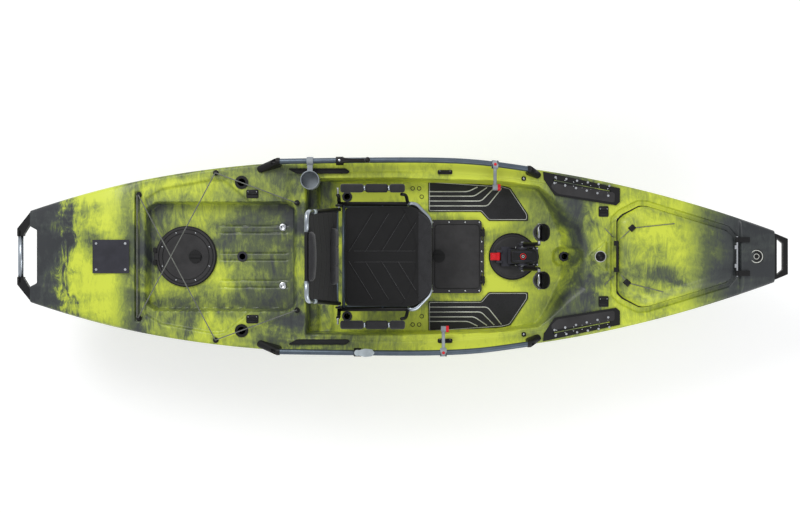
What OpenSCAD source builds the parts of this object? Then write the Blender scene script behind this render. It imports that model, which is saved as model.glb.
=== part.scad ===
// Sit-on-top fishing pedal boat: +X to the bow, +Y to port, +Z up.
// The origin is on the lowest line of the keel, amidships.

/* [Hull] */
// Length of the hull without its handles
hull_len = 4030; // [3300:10:4900]
// Greatest breadth of the hull
hull_beam = 1048; // [900:4:1250]
// Height of the gunwale over the keel
sheer_h = 352; // [320:1:430]
// Breadth of the transom as a share of the beam
stern_ratio = 0.473; // [0.4:0.01:0.6]
// Breadth of the bow deck as a share of the beam
bow_ratio = 0.265; // [0.2:0.01:0.35]
// Height of the keel at the transom
stern_rocker = 206; // [150:1:230]
// Height of the keel under the bow
bow_rocker = 37; // [20:1:60]
// Wall of the moulded hull
wall = 6; // [4:0.5:8]
// Thickness of the deck skin
deck_t = 7; // [5:0.5:9]

/* [Wells] */
// Height of the cockpit floor
cockpit_z = 215; // [190:1:235]
// Height of the cargo floor
cargo_z = 262; // [245:1:280]
// Half width of the cockpit
cockpit_half = 428; // [400:1:432]
// Half width of the cargo well
cargo_half = 305; // [280:1:320]

/* [Hatches] */
// Radius of the round rear hatch lid
rear_lid_r = 161; // [140:1:170]
// Length of the centre hatch lid
centre_lid_len = 284; // [240:1:288]
// Width of the centre hatch lid
centre_lid_w = 404; // [340:1:420]
// Rise of the bow hatch lid over the gunwale
bow_lid_rise = 66; // [50:1:80]

/* [Rails and handles] */
// Radius of the gunwale rail tube
rail_r = 15; // [12:0.5:17]
// Height of the rail centre over the gunwale
rail_rise = 60; // [52:1:80]
// Radius of the stern handle tube
stern_tube_r = 15; // [12:0.5:17]
// How far the handles reach past the hull
handle_reach = 72; // [60:1:90]
// Bore radius of the rod holders
rod_bore_r = 21; // [18:0.5:24]

/* [Drive] */
// Centre of the drive along the hull
drive_x = 612; // [590:1:640]
// Radius of the drive well
drive_r = 118; // [105:1:124]
// Length of the fins below their pivots
fin_len = 385; // [320:1:420]
// Distance between the two fin masts
fin_gap = 150; // [135:1:160]
// Running clearance round shafts and pins
run_gap = 0.08; // [0.05:0.01:0.1]
// Clearance between pieces that only lie beside each other
seat_gap = 0.3; // [0.2:0.05:0.5]

/* [Seat] */
// Height of the seat pan tubes over the cockpit floor
seat_rise = 250; // [220:1:280]
// Half spread of the seat side tubes
seat_half = 278; // [260:1:285]
// Length of the backrest tubes
back_len = 525; // [460:1:560]
// Lean of the backrest behind upright
back_lean = 14; // [8:1:18]
// Radius of the seat tubes
seat_tube_r = 12; // [10:0.5:13]

/* [Hidden] */
$fn = 48;

stern_x = -hull_len / 2;
bow_x = hull_len / 2;
half_len = hull_len / 2;
stem_len = 125;
station_step = hull_len / 26;
stern_drop = 26;
sheer_z = sheer_h;
deck_under = sheer_z - deck_t;
lime = "#bcc832";
charcoal = "#2b2e31";
black = "#161718";
slate = "#5a6670";
silver = "#b9bec4";
red = "#c0202a";

// A step that rises smoothly from 0 to 1
function smooth(t) = let (c = min(1, max(0, t))) c * c * (3 - 2 * c);
// Half breadth of the hull at the gunwale
function plan(x) = let (u = abs(x) / half_len)
    hull_beam / 2 * (x < 0 ? 1 - (1 - stern_ratio) * pow(u, 2.5) : 1 - (1 - bow_ratio) * pow(u, 1.93));
// Height of the gunwale
function sheer(x) = sheer_z - stern_drop * smooth((-x / half_len - 0.72) / 0.26);
// Height of the keel line, with the rocker aft and the raked stem
function keel(x) = let (u = x / half_len, stem = (x - half_len + stem_len) / stem_len)
    stem > 0 ? bow_rocker + (sheer_z - bow_rocker - 34) * pow(stem, 1.7)
    : u < -0.1 ? stern_rocker * pow((-u - 0.1) / 0.9, 2.35)
    : bow_rocker * smooth((u - 0.03) / 0.3);
// How boxy the section is: high amidships, low at the bow
function fullness(x) = 3.6 - 0.5 * smooth(-x / half_len) - 1.75 * smooth((x / half_len - 0.2) / 0.75);

// One section of the hull, closed across the top
function section(x, inset, top) = let (
    b = plan(x) - inset,
    low = keel(x) + inset,
    high = sheer(x) - deck_t - seat_gap,
    p = 2 / fullness(x),
    side = [for (a = [0 : 10 : 90]) [b * pow(sin(a), p), high - (high - low) * pow(cos(a), p)]])
    concat([for (q = side) q], [[b, high + top], [-b, high + top]],
        [for (i = [len(side) - 1 : -1 : 1]) [-side[i][0], side[i][1]]]);

module slab(x) {
    translate([x, 0, 0])
        rotate([90, 0, 90])
            linear_extrude(height = 0.1)
                children();
}

// The hull form between two stations, shrunk by inset
module hull_form(from, to, inset, top) {
    count = ceil((to - from) / station_step);
    step = (to - from - 0.1) / count;
    for (i = [0 : count - 1])
        hull() {
            slab(from + i * step) polygon(section(from + i * step, inset, top));
            slab(from + (i + 1) * step) polygon(section(from + (i + 1) * step, inset, top));
        }
}

// A smooth outline made symmetrical about the centreline, its corners rounded by r
module mirrored_outline(points, r) {
    offset(r = r)
        offset(delta = -r)
            polygon(concat(points, [for (i = [len(points) - 1 : -1 : 0]) [points[i][0], -points[i][1]]]));
}

module on_both_sides() {
    children();
    mirror([0, 1, 0]) children();
}

// A round bar between two points; a slightly larger ball closes each open end
ball_share = 1.06;

module bar(a, b, r, balls = true) {
    along = b - a;
    length = norm(along);
    turn = atan2(along[1], along[0]);
    tip = acos(along[2] / length);
    translate(a)
        rotate([0, tip, turn])
            cylinder(r = r, h = length);
    if (balls) {
        translate(a) sphere(r = r * ball_share);
        translate(b) sphere(r = r * ball_share);
    }
}

// A chain of round bars through a list of points
module pipe(points, r) {
    for (i = [0 : len(points) - 2])
        bar(points[i], points[i + 1], r, false);
    for (i = [1 : len(points) - 2])
        translate(points[i]) sphere(r = r * ball_share);
}

// ---------- Hull and deck ----------
cargo_outline = [
    [-1385, cargo_half - 30],
    [-1320, cargo_half],
    [-610, cargo_half],
    [-570, cargo_half - 40]
];
cockpit_outline = [[-520, cockpit_half], [520, cockpit_half - 14], [740, cockpit_half - 44],
    [830, cockpit_half - 108], [1010, 190]];
bow_outline = [[1148, 205], [1182, 238], [1277, 286], [1325, 284], [1758, 151], [1795, 108]];
bow_lip = 30;
corner_r = 30;
bow_hinge_x = 1804;
rear_hatch_x = -1178;
rear_neck_r = rear_lid_r - 20;
centre_hatch_x = 300;
centre_neck = [centre_lid_len - 40, centre_lid_w - 40];
skeg_pivot = [-985, 48];
skeg_half_gap = 10;
skeg_slot = [-1460, -950];
trunk_wall = 4;
trunk_top = 141;
drive_well_r = drive_r + trunk_wall;
rod_x = -863;
rod_y = 400;
rod_wall = 5;
rod_len = 210;
scupper_xy = [[-872, 0], [-300, 330], [-300, -330], [900, 0]];
scupper_r = 17;
scupper_wall = 4;
rudder_x = stern_x + 430;
rudder_stock_r = 14;

function scupper_floor(p) = p[0] < -570 ? cargo_z : cockpit_z;

module scupper_cut(extra) {
    for (p = scupper_xy)
        translate([p[0], p[1], -20])
            cylinder(r = scupper_r + scupper_wall + extra, h = sheer_z);
}

module hull_shell() {
    color(lime)
        difference() {
            hull_form(stern_x, bow_x, 0, 0);
            hull_form(stern_x + wall, bow_x - stem_len / 2, wall, 5);
            translate([drive_x, 0, -20])
                cylinder(r = drive_well_r + seat_gap, h = sheer_z);
            translate([skeg_slot[0] - trunk_wall - seat_gap, -skeg_half_gap - trunk_wall - seat_gap, -20])
                cube([skeg_slot[1] - skeg_slot[0] + 2 * (trunk_wall + seat_gap),
                    2 * (skeg_half_gap + trunk_wall + seat_gap), sheer_z]);
            scupper_cut(seat_gap);
            translate([rudder_x, 0, 0])
                cylinder(r = rudder_stock_r + 8 + seat_gap, h = sheer_z);
        }
}

// Crown of the deck: a hump aft and a low nose ahead of the bow hatch
rear_crown = 36;
nose_crown = 24;
crown_peak_x = stern_x + 3 * station_step;
crown_end_x = stern_x + 4 * station_step;
nose_x = 1816;
function crown(x) = x < crown_end_x
    ? rear_crown * smooth((x - stern_x + 60) / 480) * (1 - 0.66 * smooth((x - crown_peak_x) / station_step))
    : x < nose_x ? 0 : nose_crown * (1 - 0.8 * smooth((x - nose_x) / 190));

// A groove across the deck holds the aft bungee
groove_x = -1417;
groove_len = 44;

module deck_skin(x, drop) {
    b = plan(x) - drop;
    z = sheer(x);
    top = crown(x) - drop;
    shoulder = drop > 0 ? z - drop : z;
    slab(x)
        polygon([[-b, z - deck_t - (drop > 0 ? 2 : 0)], [b, z - deck_t - (drop > 0 ? 2 : 0)], [b, shoulder],
            [0.85 * b, z + max(0.55 * crown(x) - drop, -drop)], [0.5 * b, z + 0.9 * crown(x) - drop],
            [0, z + top], [-0.5 * b, z + 0.9 * crown(x) - drop],
            [-0.85 * b, z + max(0.55 * crown(x) - drop, -drop)], [-b, shoulder]]);
}

module deck_form(from, to, drop) {
    count = ceil((to - from) / station_step - 0.01);
    step = (to - from - 0.1) / count;
    for (i = [0 : count - 1])
        hull() {
            deck_skin(from + i * step, drop);
            deck_skin(from + (i + 1) * step, drop);
        }
}

module well(points, floor_z, grow) {
    translate([0, 0, floor_z - grow])
        linear_extrude(height = sheer_z + 60 - floor_z)
            offset(r = grow)
                mirrored_outline(points, corner_r);
}

// The deck plate: the crown aft, the flat middle with its openings and the nose, each a piece of its own
module deck() {
    color(lime)
        difference() {
            union() {
                deck_form(stern_x, crown_end_x - seat_gap, 0);
                deck_form(crown_end_x, nose_x - seat_gap, 0);
                deck_form(nose_x, bow_x, 0);
            }
            deck_form(stern_x + wall, min(crown_end_x, groove_x - groove_len / 2) - wall, deck_t);
            deck_form(nose_x + wall, bow_x - wall, deck_t);
            translate([groove_x - groove_len / 2, -cargo_half - 52, sheer_z])
                cube([groove_len, 2 * (cargo_half + 52), 60]);
            well(cargo_outline, cargo_z, 0);
            well(cockpit_outline, cockpit_z, 0);
            translate([0, 0, deck_under - 1])
                linear_extrude(height = 60)
                    offset(delta = -bow_lip)
                        mirrored_outline(bow_outline, corner_r);
            on_both_sides()
                translate([rod_x, rod_y, deck_under - 20])
                    cylinder(r = rod_bore_r + rod_wall + seat_gap, h = 60);
        }
}

// The cargo and cockpit wells: floors and walls that hang under the deck plate
module deck_wells() {
    color(lime)
        difference() {
            intersection() {
                union() {
                    well(cargo_outline, cargo_z, wall);
                    well(cockpit_outline, cockpit_z, wall);
                }
                translate([stern_x, -hull_beam / 2, 0])
                    cube([hull_len, hull_beam, deck_under - seat_gap]);
            }
            well(cargo_outline, cargo_z, 0);
            well(cockpit_outline, cockpit_z, 0);
            translate([rear_hatch_x, 0, cargo_z - 20])
                cylinder(r = rear_neck_r + seat_gap, h = 40);
            translate([centre_hatch_x, 0, cockpit_z])
                cube([centre_neck[0] + 2 * seat_gap, centre_neck[1] + 2 * seat_gap, 40], center = true);
            translate([drive_x, 0, cockpit_z - 20])
                cylinder(r = drive_well_r + seat_gap, h = 40);
            scupper_cut(seat_gap);
        }
}

// ---------- Handles and plates ----------
handle_h = 28;
bow_handle_z = sheer_z - 14;
bow_root_half = 126;
bow_tip_half = 96;
bow_bar = 26;
stern_handle_z = 304;
stern_tube_half = 112;
stern_tube_x = stern_x - handle_reach + stern_tube_r;

module bow_handle() {
    outline = [[bow_x + seat_gap, bow_root_half], [bow_x + handle_reach, bow_tip_half]];
    color(black)
        translate([0, 0, bow_handle_z - handle_h / 2])
            difference() {
                linear_extrude(height = handle_h)
                    polygon([outline[0], outline[1],
                        [outline[1][0], -bow_tip_half], [outline[0][0], -bow_root_half]]);
                translate([0, 0, -1])
                    linear_extrude(height = handle_h + 2)
                        polygon([[bow_x + 12, bow_root_half - bow_bar],
                            [bow_x + handle_reach - bow_bar, bow_tip_half - bow_bar],
                            [bow_x + handle_reach - bow_bar, bow_bar - bow_tip_half],
                            [bow_x + 12, bow_bar - bow_root_half]]);
            }
}

module stern_handle() {
    color(silver)
        translate([stern_tube_x, stern_tube_half, stern_handle_z])
            rotate([90, 0, 0])
                cylinder(r = stern_tube_r, h = 2 * stern_tube_half);
}

module stern_handle_elbows() {
    root_y = plan(stern_x) - 22;
    color(black)
        on_both_sides()
            difference() {
                translate([0, 0, stern_handle_z - stern_tube_r])
                    linear_extrude(height = 2 * stern_tube_r)
                        polygon([[stern_x - seat_gap, root_y + 16], [stern_x - seat_gap, root_y - 46],
                            [stern_tube_x + stern_tube_r + 5, stern_tube_half + 8],
                            [stern_tube_x + stern_tube_r + 5, stern_tube_half - 14],
                            [stern_tube_x - stern_tube_r, stern_tube_half - 14],
                            [stern_tube_x - stern_tube_r, stern_tube_half + 40]]);
                translate([stern_tube_x, stern_tube_half, stern_handle_z])
                    rotate([90, 0, 0])
                        cylinder(r = stern_tube_r + seat_gap, h = 60, center = true);
                translate([stern_tube_x - 3 * stern_tube_r, stern_tube_half - 30,
                    stern_handle_z - 2 * stern_tube_r])
                    cube([6 * stern_tube_r, 29, 4 * stern_tube_r]);
            }
}

plate_x = crown_peak_x - 10;
plate_len = 196;
plate_half = 90;
plate_z = sheer(crown_peak_x) + rear_crown + seat_gap;
plate_t = 5;
plate_screw = [78, 70];

module plate_corners() {
    for (sx = [-1, 1], sy = [-1, 1])
        translate([plate_x + sx * plate_screw[0], sy * plate_screw[1], 0])
            children();
}

module stern_plate() {
    color(charcoal)
        difference() {
            translate([plate_x - plate_len / 2, -plate_half, plate_z])
                cube([plate_len, 2 * plate_half, plate_t]);
            plate_corners()
                translate([0, 0, plate_z - 1])
                    cylinder(r = 3 + seat_gap, h = plate_t + 2);
        }
}

module stern_plate_screws() {
    color(silver)
        plate_corners() {
            translate([0, 0, plate_z])
                cylinder(r = 3, h = plate_t + 0.2);
            translate([0, 0, plate_z + plate_t + 0.2])
                cylinder(r = 6.5, h = 2.4);
        }
}

// ---------- Gunwale rails ----------
rail_z = sheer_z + rail_rise;
rail_path = [[-667, 508, rail_z], [150, 515, rail_z], [420, 502, rail_z], [690, 466, rail_z]];
rear_boot_len = 112;
front_boot_len = 62;
boot_w = 40;

module rails() {
    color(slate)
        on_both_sides()
            pipe(rail_path, rail_r);
}

// A moulded boot that grips the rail's end and slopes down to the deck
module boot(tip, outward, boot_len) {
    foot_x = tip[0] + outward * boot_len;
    foot = [foot_x, min(tip[1], plan(foot_x) - 26), sheer_z + seat_gap];
    difference() {
        hull() {
            translate([tip[0] - outward * 8, tip[1], rail_z])
                rotate([0, 90, 0])
                    cylinder(r = rail_r + 5, h = 16, center = true, $fn = 32);
            translate([foot[0] - outward * 20, foot[1], foot[2]])
                cylinder(r = boot_w / 2, h = 8, $fn = 32);
            translate([tip[0] - outward * 6, tip[1] - 14, foot[2]])
                cylinder(r = boot_w / 2 - 6, h = 8, $fn = 32);
        }
        translate([tip[0], tip[1], rail_z])
            rotate([0, 90, outward < 0 ? rail_turn(tip[0]) : rail_turn(tip[0] - 1)])
                cylinder(r = rail_r + seat_gap, h = 60, center = true);
    }
}

module rail_boots() {
    color(black)
        on_both_sides() {
            boot(rail_path[0], -1, rear_boot_len);
            boot(rail_path[3], 1, front_boot_len);
        }
}

track_outline = [[764, 458], [1178, 368], [1178, 294], [1158, 276], [826, 330], [768, 416]];
track_slot = [[815, 414], [1130, 352]];
track_t = 9;

module track_rivet_places() {
    for (t = [0.04 : 0.184 : 1])
        let (p = (1 - t) * track_slot[0] + t * track_slot[1], side = 15 + 12 * t)
            for (s = [-1, 1])
                translate([p[0] + s * 3, p[1] + s * side, 0])
                    children();
}

module track_plates() {
    slot_turn = atan2(track_slot[1][1] - track_slot[0][1], track_slot[1][0] - track_slot[0][0]);
    color(black)
        on_both_sides()
            translate([0, 0, sheer_z + seat_gap])
                difference() {
                    linear_extrude(height = track_t)
                        polygon(track_outline);
                    translate([track_slot[0][0], track_slot[0][1], 2])
                        rotate([0, 0, slot_turn])
                            translate([0, -7, 0])
                                cube([norm(track_slot[1] - track_slot[0]), 14, 4]);
                    translate([track_slot[0][0], track_slot[0][1], 5])
                        rotate([0, 0, slot_turn])
                            translate([0, -3.5, 0])
                                cube([norm(track_slot[1] - track_slot[0]), 7, 6]);
                    track_rivet_places()
                        translate([0, 0, -1])
                            cylinder(r = 3 + seat_gap, h = track_t + 2);
                }
}

module track_rivets() {
    color(silver)
        on_both_sides()
            translate([0, 0, sheer_z + seat_gap])
                track_rivet_places() {
                    cylinder(r = 3, h = track_t + 0.2);
                    translate([0, 0, track_t + 0.2])
                        cylinder(r = 6, h = 2.2);
                }
}

// Screws of the stern plate and rivets of the track plates
module deck_fasteners() {
    stern_plate_screws();
    track_rivets();
}

module side_pockets() {
    color(black)
        on_both_sides()
            translate([-610, 446, sheer_z + seat_gap])
                cube([330, 30, 6]);
}

// ---------- Bow hatch ----------
seal_h = 7;
lid_base = sheer_z + seal_h + 2 * seat_gap;
lid_wall = 4;
lid_front = 1790;
lid_back = 1150;
hinge_z = sheer_z + 28;
hinge_y = 90;
hinge_pin_r = 5;

// Half width of the bow lid, from its corner outline
function bow_lid_half(x) = lookup(x, [for (p = bow_outline) p]);
function bow_lid_top(x) = sheer_z + bow_lid_rise
    - 8 * smooth((x - 1300) / 300) - 30 * smooth((x - 1600) / 180);

module lid_slab(x, drop) {
    b = bow_lid_half(x) - drop;
    high = bow_lid_top(x) - drop;
    edge = lid_base + 0.55 * (high - lid_base);
    slab(x)
        polygon([[-b, lid_base - (drop > 0 ? 2 : 0)], [b, lid_base - (drop > 0 ? 2 : 0)],
            [b - 2, edge], [0.88 * b, high - 9],
            [0.6 * b, high - 2], [0, high], [-0.6 * b, high - 2], [-0.88 * b, high - 9], [2 - b, edge]]);
}

module lid_form(from, to, drop) {
    stops = [from, 1182, 1229, 1277, 1325, 1415, 1500, 1585, 1670, 1758, to];
    for (i = [0 : len(stops) - 2])
        hull() {
            lid_slab(stops[i], drop);
            lid_slab(stops[i + 1], drop);
        }
}

module bow_hatch_lid() {
    color(lime)
        difference() {
            lid_form(lid_back + 14, lid_front, 0);
            difference() {
                lid_form(lid_back + 14 + lid_wall, lid_front - lid_wall, lid_wall);
                translate([1770, -60, lid_base])
                    cube([40, 120, 4]);
            }
        }
}

module bow_hatch_handle() {
    color(black)
        translate([lid_back + 14 - 22 - seat_gap, -84, lid_base + 16])
            difference() {
                cube([22, 168, 16]);
                translate([-1, 26, -1])
                    cube([13, 116, 18]);
            }
}

module bow_hatch_seal() {
    color(black)
        translate([0, 0, sheer_z + seat_gap])
            linear_extrude(height = seal_h)
                difference() {
                    offset(delta = -12)
                        mirrored_outline(bow_outline, corner_r);
                    offset(delta = -bow_lip - 1)
                        mirrored_outline(bow_outline, corner_r);
                }
}

// Hinge straps: one knuckle with its leaf on the lid's nose, and a fixed one on the deck
hinge_foot_z = sheer_z + nose_crown * (1 - 0.2 * (hinge_y - 14) / plan(nose_x)) + seat_gap;

module bow_hatch_hinges() {
    color(black)
        on_both_sides()
            difference() {
                union() {
                    translate([bow_hinge_x, hinge_y - 14, hinge_z])
                        rotate([-90, 0, 0])
                            cylinder(r = 9, h = 28);
                    translate([bow_hinge_x + 2, hinge_y - 14, hinge_foot_z])
                        cube([66, 28, 9]);
                }
                translate([bow_hinge_x, hinge_y, hinge_z])
                    rotate([90, 0, 0])
                        cylinder(r = hinge_pin_r + run_gap, h = 60, center = true);
            }
}

// The pin turns with the lid: its tabs are bolted to the lid's nose
module bow_hatch_pin() {
    color(silver) {
        translate([bow_hinge_x, 0, hinge_z])
            rotate([90, 0, 0])
                cylinder(r = hinge_pin_r, h = 2 * hinge_y + 36, center = true);
        for (y = [-60, 40])
            translate([lid_front + seat_gap, y, hinge_z - 4])
                cube([bow_hinge_x - lid_front - seat_gap, 20, 8]);
    }
}

liner_low = 118;
bow_liner_outline = [[1148, 205], [1277, 232], [1450, 222], [1758, 128], [1775, 100]];

module bow_liner() {
    color(black)
        difference() {
            union() {
                translate([0, 0, liner_low])
                    linear_extrude(height = deck_under - liner_low - seat_gap)
                        offset(delta = -bow_lip - 18)
                            mirrored_outline(bow_liner_outline, corner_r);
                translate([0, 0, deck_under + 1])
                    linear_extrude(height = deck_t - 2)
                        offset(delta = -bow_lip - seat_gap)
                            mirrored_outline(bow_outline, corner_r);
                translate([0, 0, deck_under - 6])
                    linear_extrude(height = 9)
                        offset(delta = -bow_lip - 2)
                            mirrored_outline(bow_outline, corner_r);
            }
            translate([0, 0, liner_low + 3])
                linear_extrude(height = sheer_z)
                    offset(delta = -bow_lip - 21)
                        mirrored_outline(bow_liner_outline, corner_r);
        }
}

// ---------- Centre hatch ----------
frame_h = 10;
centre_lid_z = cockpit_z + frame_h + 2 * seat_gap;
centre_lid_t = 9;
centre_hinge_x = centre_hatch_x + centre_lid_len / 2 + 9;
centre_hinge_z = centre_lid_z + 5;

module rounded_plate(size, h, r) {
    linear_extrude(height = h)
        offset(r = r)
            square([size[0] - 2 * r, size[1] - 2 * r], center = true);
}

module centre_hatch_frame() {
    color(black)
        difference() {
            union() {
                translate([centre_hatch_x, 0, cockpit_z + seat_gap])
                    difference() {
                        rounded_plate([centre_lid_len, centre_lid_w], frame_h, 22);
                        translate([0, 0, -1])
                            rounded_plate([centre_neck[0] - 4, centre_neck[1] - 4], frame_h + 2, 14);
                    }
                for (y = [-150, 110])
                    translate([centre_hinge_x - 12, y, cockpit_z + seat_gap])
                        cube([20, 40, centre_hinge_z - cockpit_z + 6]);
            }
            translate([centre_hinge_x, 0, centre_hinge_z])
                rotate([90, 0, 0])
                    cylinder(r = 4 + run_gap, h = centre_lid_w, center = true);
        }
}

module centre_hatch_lid() {
    color(charcoal) {
        difference() {
            translate([centre_hatch_x, 0, centre_lid_z])
                rounded_plate([centre_lid_len, centre_lid_w], centre_lid_t, 22);
            for (y = [-152, 108])
                translate([centre_hinge_x - 16, y, centre_lid_z - 1])
                    cube([40, 44, centre_lid_t + 2]);
            translate([centre_latch_x, 0, centre_lid_z - 1])
                cylinder(r = 8 + run_gap, h = centre_lid_t + 2);
        }
        translate([centre_hinge_x, 0, centre_hinge_z])
            rotate([90, 0, 0])
                cylinder(r = 4, h = 320, center = true);
        translate([centre_hinge_x - 14, -90, centre_lid_z])
            cube([14, 180, centre_lid_t]);
    }
}
centre_latch_x = 206;

// A twist latch: a stem through the lid, a dog under it and a winged knob on top
module latch(through, dog_r) {
    cylinder(r = 8, h = through + 4);
    translate([0, 0, through + seat_gap])
        cylinder(r = 34, h = 8);
    translate([-32, -6, through + seat_gap + 8])
        cube([64, 12, 9]);
    translate([-dog_r, -7, -6])
        cube([dog_r + 7, 14, 5.7]);
}

module centre_hatch_latch() {
    color(black)
        translate([centre_latch_x, 0, centre_lid_z])
            latch(centre_lid_t, 8);
}

module centre_bucket() {
    color(black)
        translate([centre_hatch_x, 0, 55])
            difference() {
                rounded_plate([centre_neck[0] - 1, centre_neck[1] - 1], cockpit_z - 55 - wall, 14);
                translate([0, 0, 3])
                    rounded_plate([centre_neck[0] - 7, centre_neck[1] - 7], sheer_z, 12);
            }
}

// ---------- Round rear hatch ----------
rear_lid_z = cargo_z + frame_h + 2 * seat_gap;
rear_lid_t = 9;
rear_hinge_x = rear_hatch_x - rear_lid_r - 9;
rear_hinge_z = rear_lid_z + 5;
rear_latch_x = rear_hatch_x + 52;
rear_bucket_low = trunk_top + trunk_wall + 1;

module rear_hatch_ring() {
    color(black)
        difference() {
            union() {
                translate([rear_hatch_x, 0, cargo_z + seat_gap])
                    difference() {
                        cylinder(r = rear_lid_r + 6, h = frame_h);
                        translate([0, 0, -1])
                            cylinder(r = rear_neck_r - 2, h = frame_h + 2);
                    }
                for (y = [-46, 22])
                    translate([rear_hinge_x - 9, y, cargo_z + seat_gap])
                        cube([20, 24, rear_hinge_z - cargo_z + 6]);
            }
            translate([rear_hinge_x, 0, rear_hinge_z])
                rotate([90, 0, 0])
                    cylinder(r = 4 + run_gap, h = 200, center = true);
        }
}

module rear_hatch_lid() {
    color(black) {
        difference() {
            translate([rear_hatch_x, 0, rear_lid_z])
                cylinder(r = rear_lid_r, h = 9);
            translate([rear_latch_x, 0, rear_lid_z - 1])
                cylinder(r = 8 + run_gap, h = 12);
            for (y = [-48, 20])
                translate([rear_hinge_x - 12, y, rear_lid_z - 1])
                    cube([26, 28, 12]);
        }
        translate([rear_hinge_x, 0, rear_hinge_z])
            rotate([90, 0, 0])
                cylinder(r = 4, h = 100, center = true);
        translate([rear_hinge_x, -18, rear_lid_z])
            cube([16, 36, 9]);
    }
}

module rear_hatch_latch() {
    color(black)
        translate([rear_latch_x, 0, rear_lid_z])
            latch(rear_lid_t, 8);
}

module rear_bucket() {
    color(black)
        translate([rear_hatch_x, 0, rear_bucket_low])
            difference() {
                cylinder(r = rear_neck_r, h = cargo_z - rear_bucket_low);
                translate([0, 0, 3])
                    cylinder(r = rear_neck_r - 3, h = cargo_z);
            }
}

// ---------- Cargo gear ----------
cord_r = 3;
hook_mid = [-1002, 452];
hook_front = [-564, 290];
hook_rear = [groove_x, 333];
cord_z = sheer_z + 22;
cord_step = cord_r + seat_gap;
function at_z(p, side, z) = [p[0], side * p[1], z];

module cargo_bungee() {
    color(black) {
        for (side = [-1, 1]) {
            z = cord_z + side * cord_step;
            bar(at_z(hook_mid, side, z), at_z(hook_rear, -side, z), cord_r, false);
            bar(at_z(hook_mid + [12, 0], side, z), at_z(hook_front, -side, z), cord_r, false);
        }
        bar(at_z(hook_rear - [8, 0], -1, cord_z - cord_step), at_z(hook_rear - [8, 0], 1, cord_z - cord_step),
            cord_r, false);
    }
}

// Hooks that carry the cords, each with a wide foot on the deck
module bungee_hooks() {
    color(black)
        on_both_sides()
            for (p = [hook_mid, hook_rear, hook_front])
                translate([p[0], p[1], sheer_z + seat_gap]) {
                    cylinder(r = 15, h = 4);
                    cylinder(r = 10, h = cord_z - sheer_z - cord_step - cord_r - 2 * seat_gap);
                }
}

module cleat_block(x, y, size) {
    translate([x - size[0] / 2, y - size[1] / 2, sheer_z + seat_gap])
        difference() {
            cube(size);
            for (s = [0.25, 0.6])
                translate([s * size[0], size[1] * 0.2, size[2] - 4])
                    cube([size[0] * 0.16, size[1] * 0.6, 5]);
        }
}

module deck_cleats() {
    color(black)
        on_both_sides() {
            cleat_block(-805, 338, [68, 50, 14]);
            cleat_block(235, 455, [84, 26, 16]);
            cleat_block(1091, 243, [56, 62, 12]);
            cleat_block(660, 420, [24, 24, 12]);
        }
}

module scupper_tubes() {
    color(charcoal)
        for (p = scupper_xy) {
            low = keel(p[0]) + (abs(p[1]) > 0 ? 26 : 3);
            translate([p[0], p[1], 0])
                difference() {
                    union() {
                        translate([0, 0, low])
                            cylinder(r = scupper_r + scupper_wall, h = scupper_floor(p) - low + 1);
                        translate([0, 0, scupper_floor(p) + seat_gap])
                            cylinder(r = scupper_r + 11, h = 3);
                    }
                    cylinder(r = scupper_r, h = sheer_z);
                }
        }
}

module rod_holders() {
    color(black)
        on_both_sides()
            translate([rod_x, rod_y, sheer_z])
                difference() {
                    union() {
                        translate([0, 0, -rod_len])
                            cylinder(r = rod_bore_r + rod_wall, h = rod_len + 1);
                        translate([0, 0, seat_gap])
                            cylinder(r = rod_bore_r + 15, h = 5);
                    }
                    translate([0, 0, 5 - rod_len])
                        cylinder(r = rod_bore_r, h = rod_len + 10);
                }
}

pad_outline = [
    [148, 418], [560, 392], [602, 380], [700, 232],
    [700, 196], [480, 196], [436, 246], [148, 246]
];

module deck_pads() {
    color(charcoal)
        on_both_sides()
            translate([0, 0, cockpit_z + seat_gap])
                linear_extrude(height = 6)
                    polygon(pad_outline);
}

// ---------- Things clamped to the rails ----------
function rail_span(x) = x < rail_path[1][0] ? 0 : x < rail_path[2][0] ? 1 : 2;
function rail_y(x) = let (a = rail_path[rail_span(x)], b = rail_path[rail_span(x) + 1])
    a[1] + (b[1] - a[1]) * (x - a[0]) / (b[0] - a[0]);
function rail_turn(x) = let (a = rail_path[rail_span(x)], b = rail_path[rail_span(x) + 1])
    atan2(b[1] - a[1], b[0] - a[0]);
ring_wall = 8;

module rail_clamp(x, w) {
    translate([x, rail_y(x), rail_z])
        rotate([0, 90, rail_turn(x)])
            cylinder(r = rail_r + ring_wall, h = w, center = true);
}

module rail_bore(x, w) {
    translate([x, rail_y(x), rail_z])
        rotate([0, 90, rail_turn(x)])
            cylinder(r = rail_r + seat_gap, h = w + 20, center = true);
}

cup_x = -489;
cup_y = 408;
cup_r = 50;
cup_low = sheer_z + 8;
cup_h = 78;

module cup_holder() {
    color("#8a9096")
        difference() {
            union() {
                translate([cup_x, cup_y, cup_low])
                    cylinder(r = cup_r, h = cup_h);
                rail_clamp(cup_x, 34);
                translate([cup_x - 14, cup_y + cup_r - 6, rail_z - 12])
                    cube([28, rail_y(cup_x) - cup_y - cup_r - rail_r + 8, 22]);
            }
            translate([cup_x, cup_y, cup_low + 4])
                cylinder(r = cup_r - 4, h = cup_h);
            rail_bore(cup_x, 34);
        }
}

steer_x = -330;
steer_reach = 150;
steer_z = rail_z + rail_r + 19;
pivot_r = 6;
paddle_x = -235;
paddle_len = 92;

module pivot_clamp(x) {
    difference() {
        union() {
            rail_clamp(x, 40);
            translate([x, rail_y(x), rail_z + rail_r + 2])
                cylinder(r = 16, h = 16.7);
        }
        rail_bore(x, 40);
        translate([x, rail_y(x), rail_z + rail_r + 5])
            cylinder(r = pivot_r + run_gap, h = 20);
    }
}

module steering_bracket() {
    color(black) {
        pivot_clamp(steer_x);
        mirror([0, 1, 0]) pivot_clamp(paddle_x);
    }
}

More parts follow.
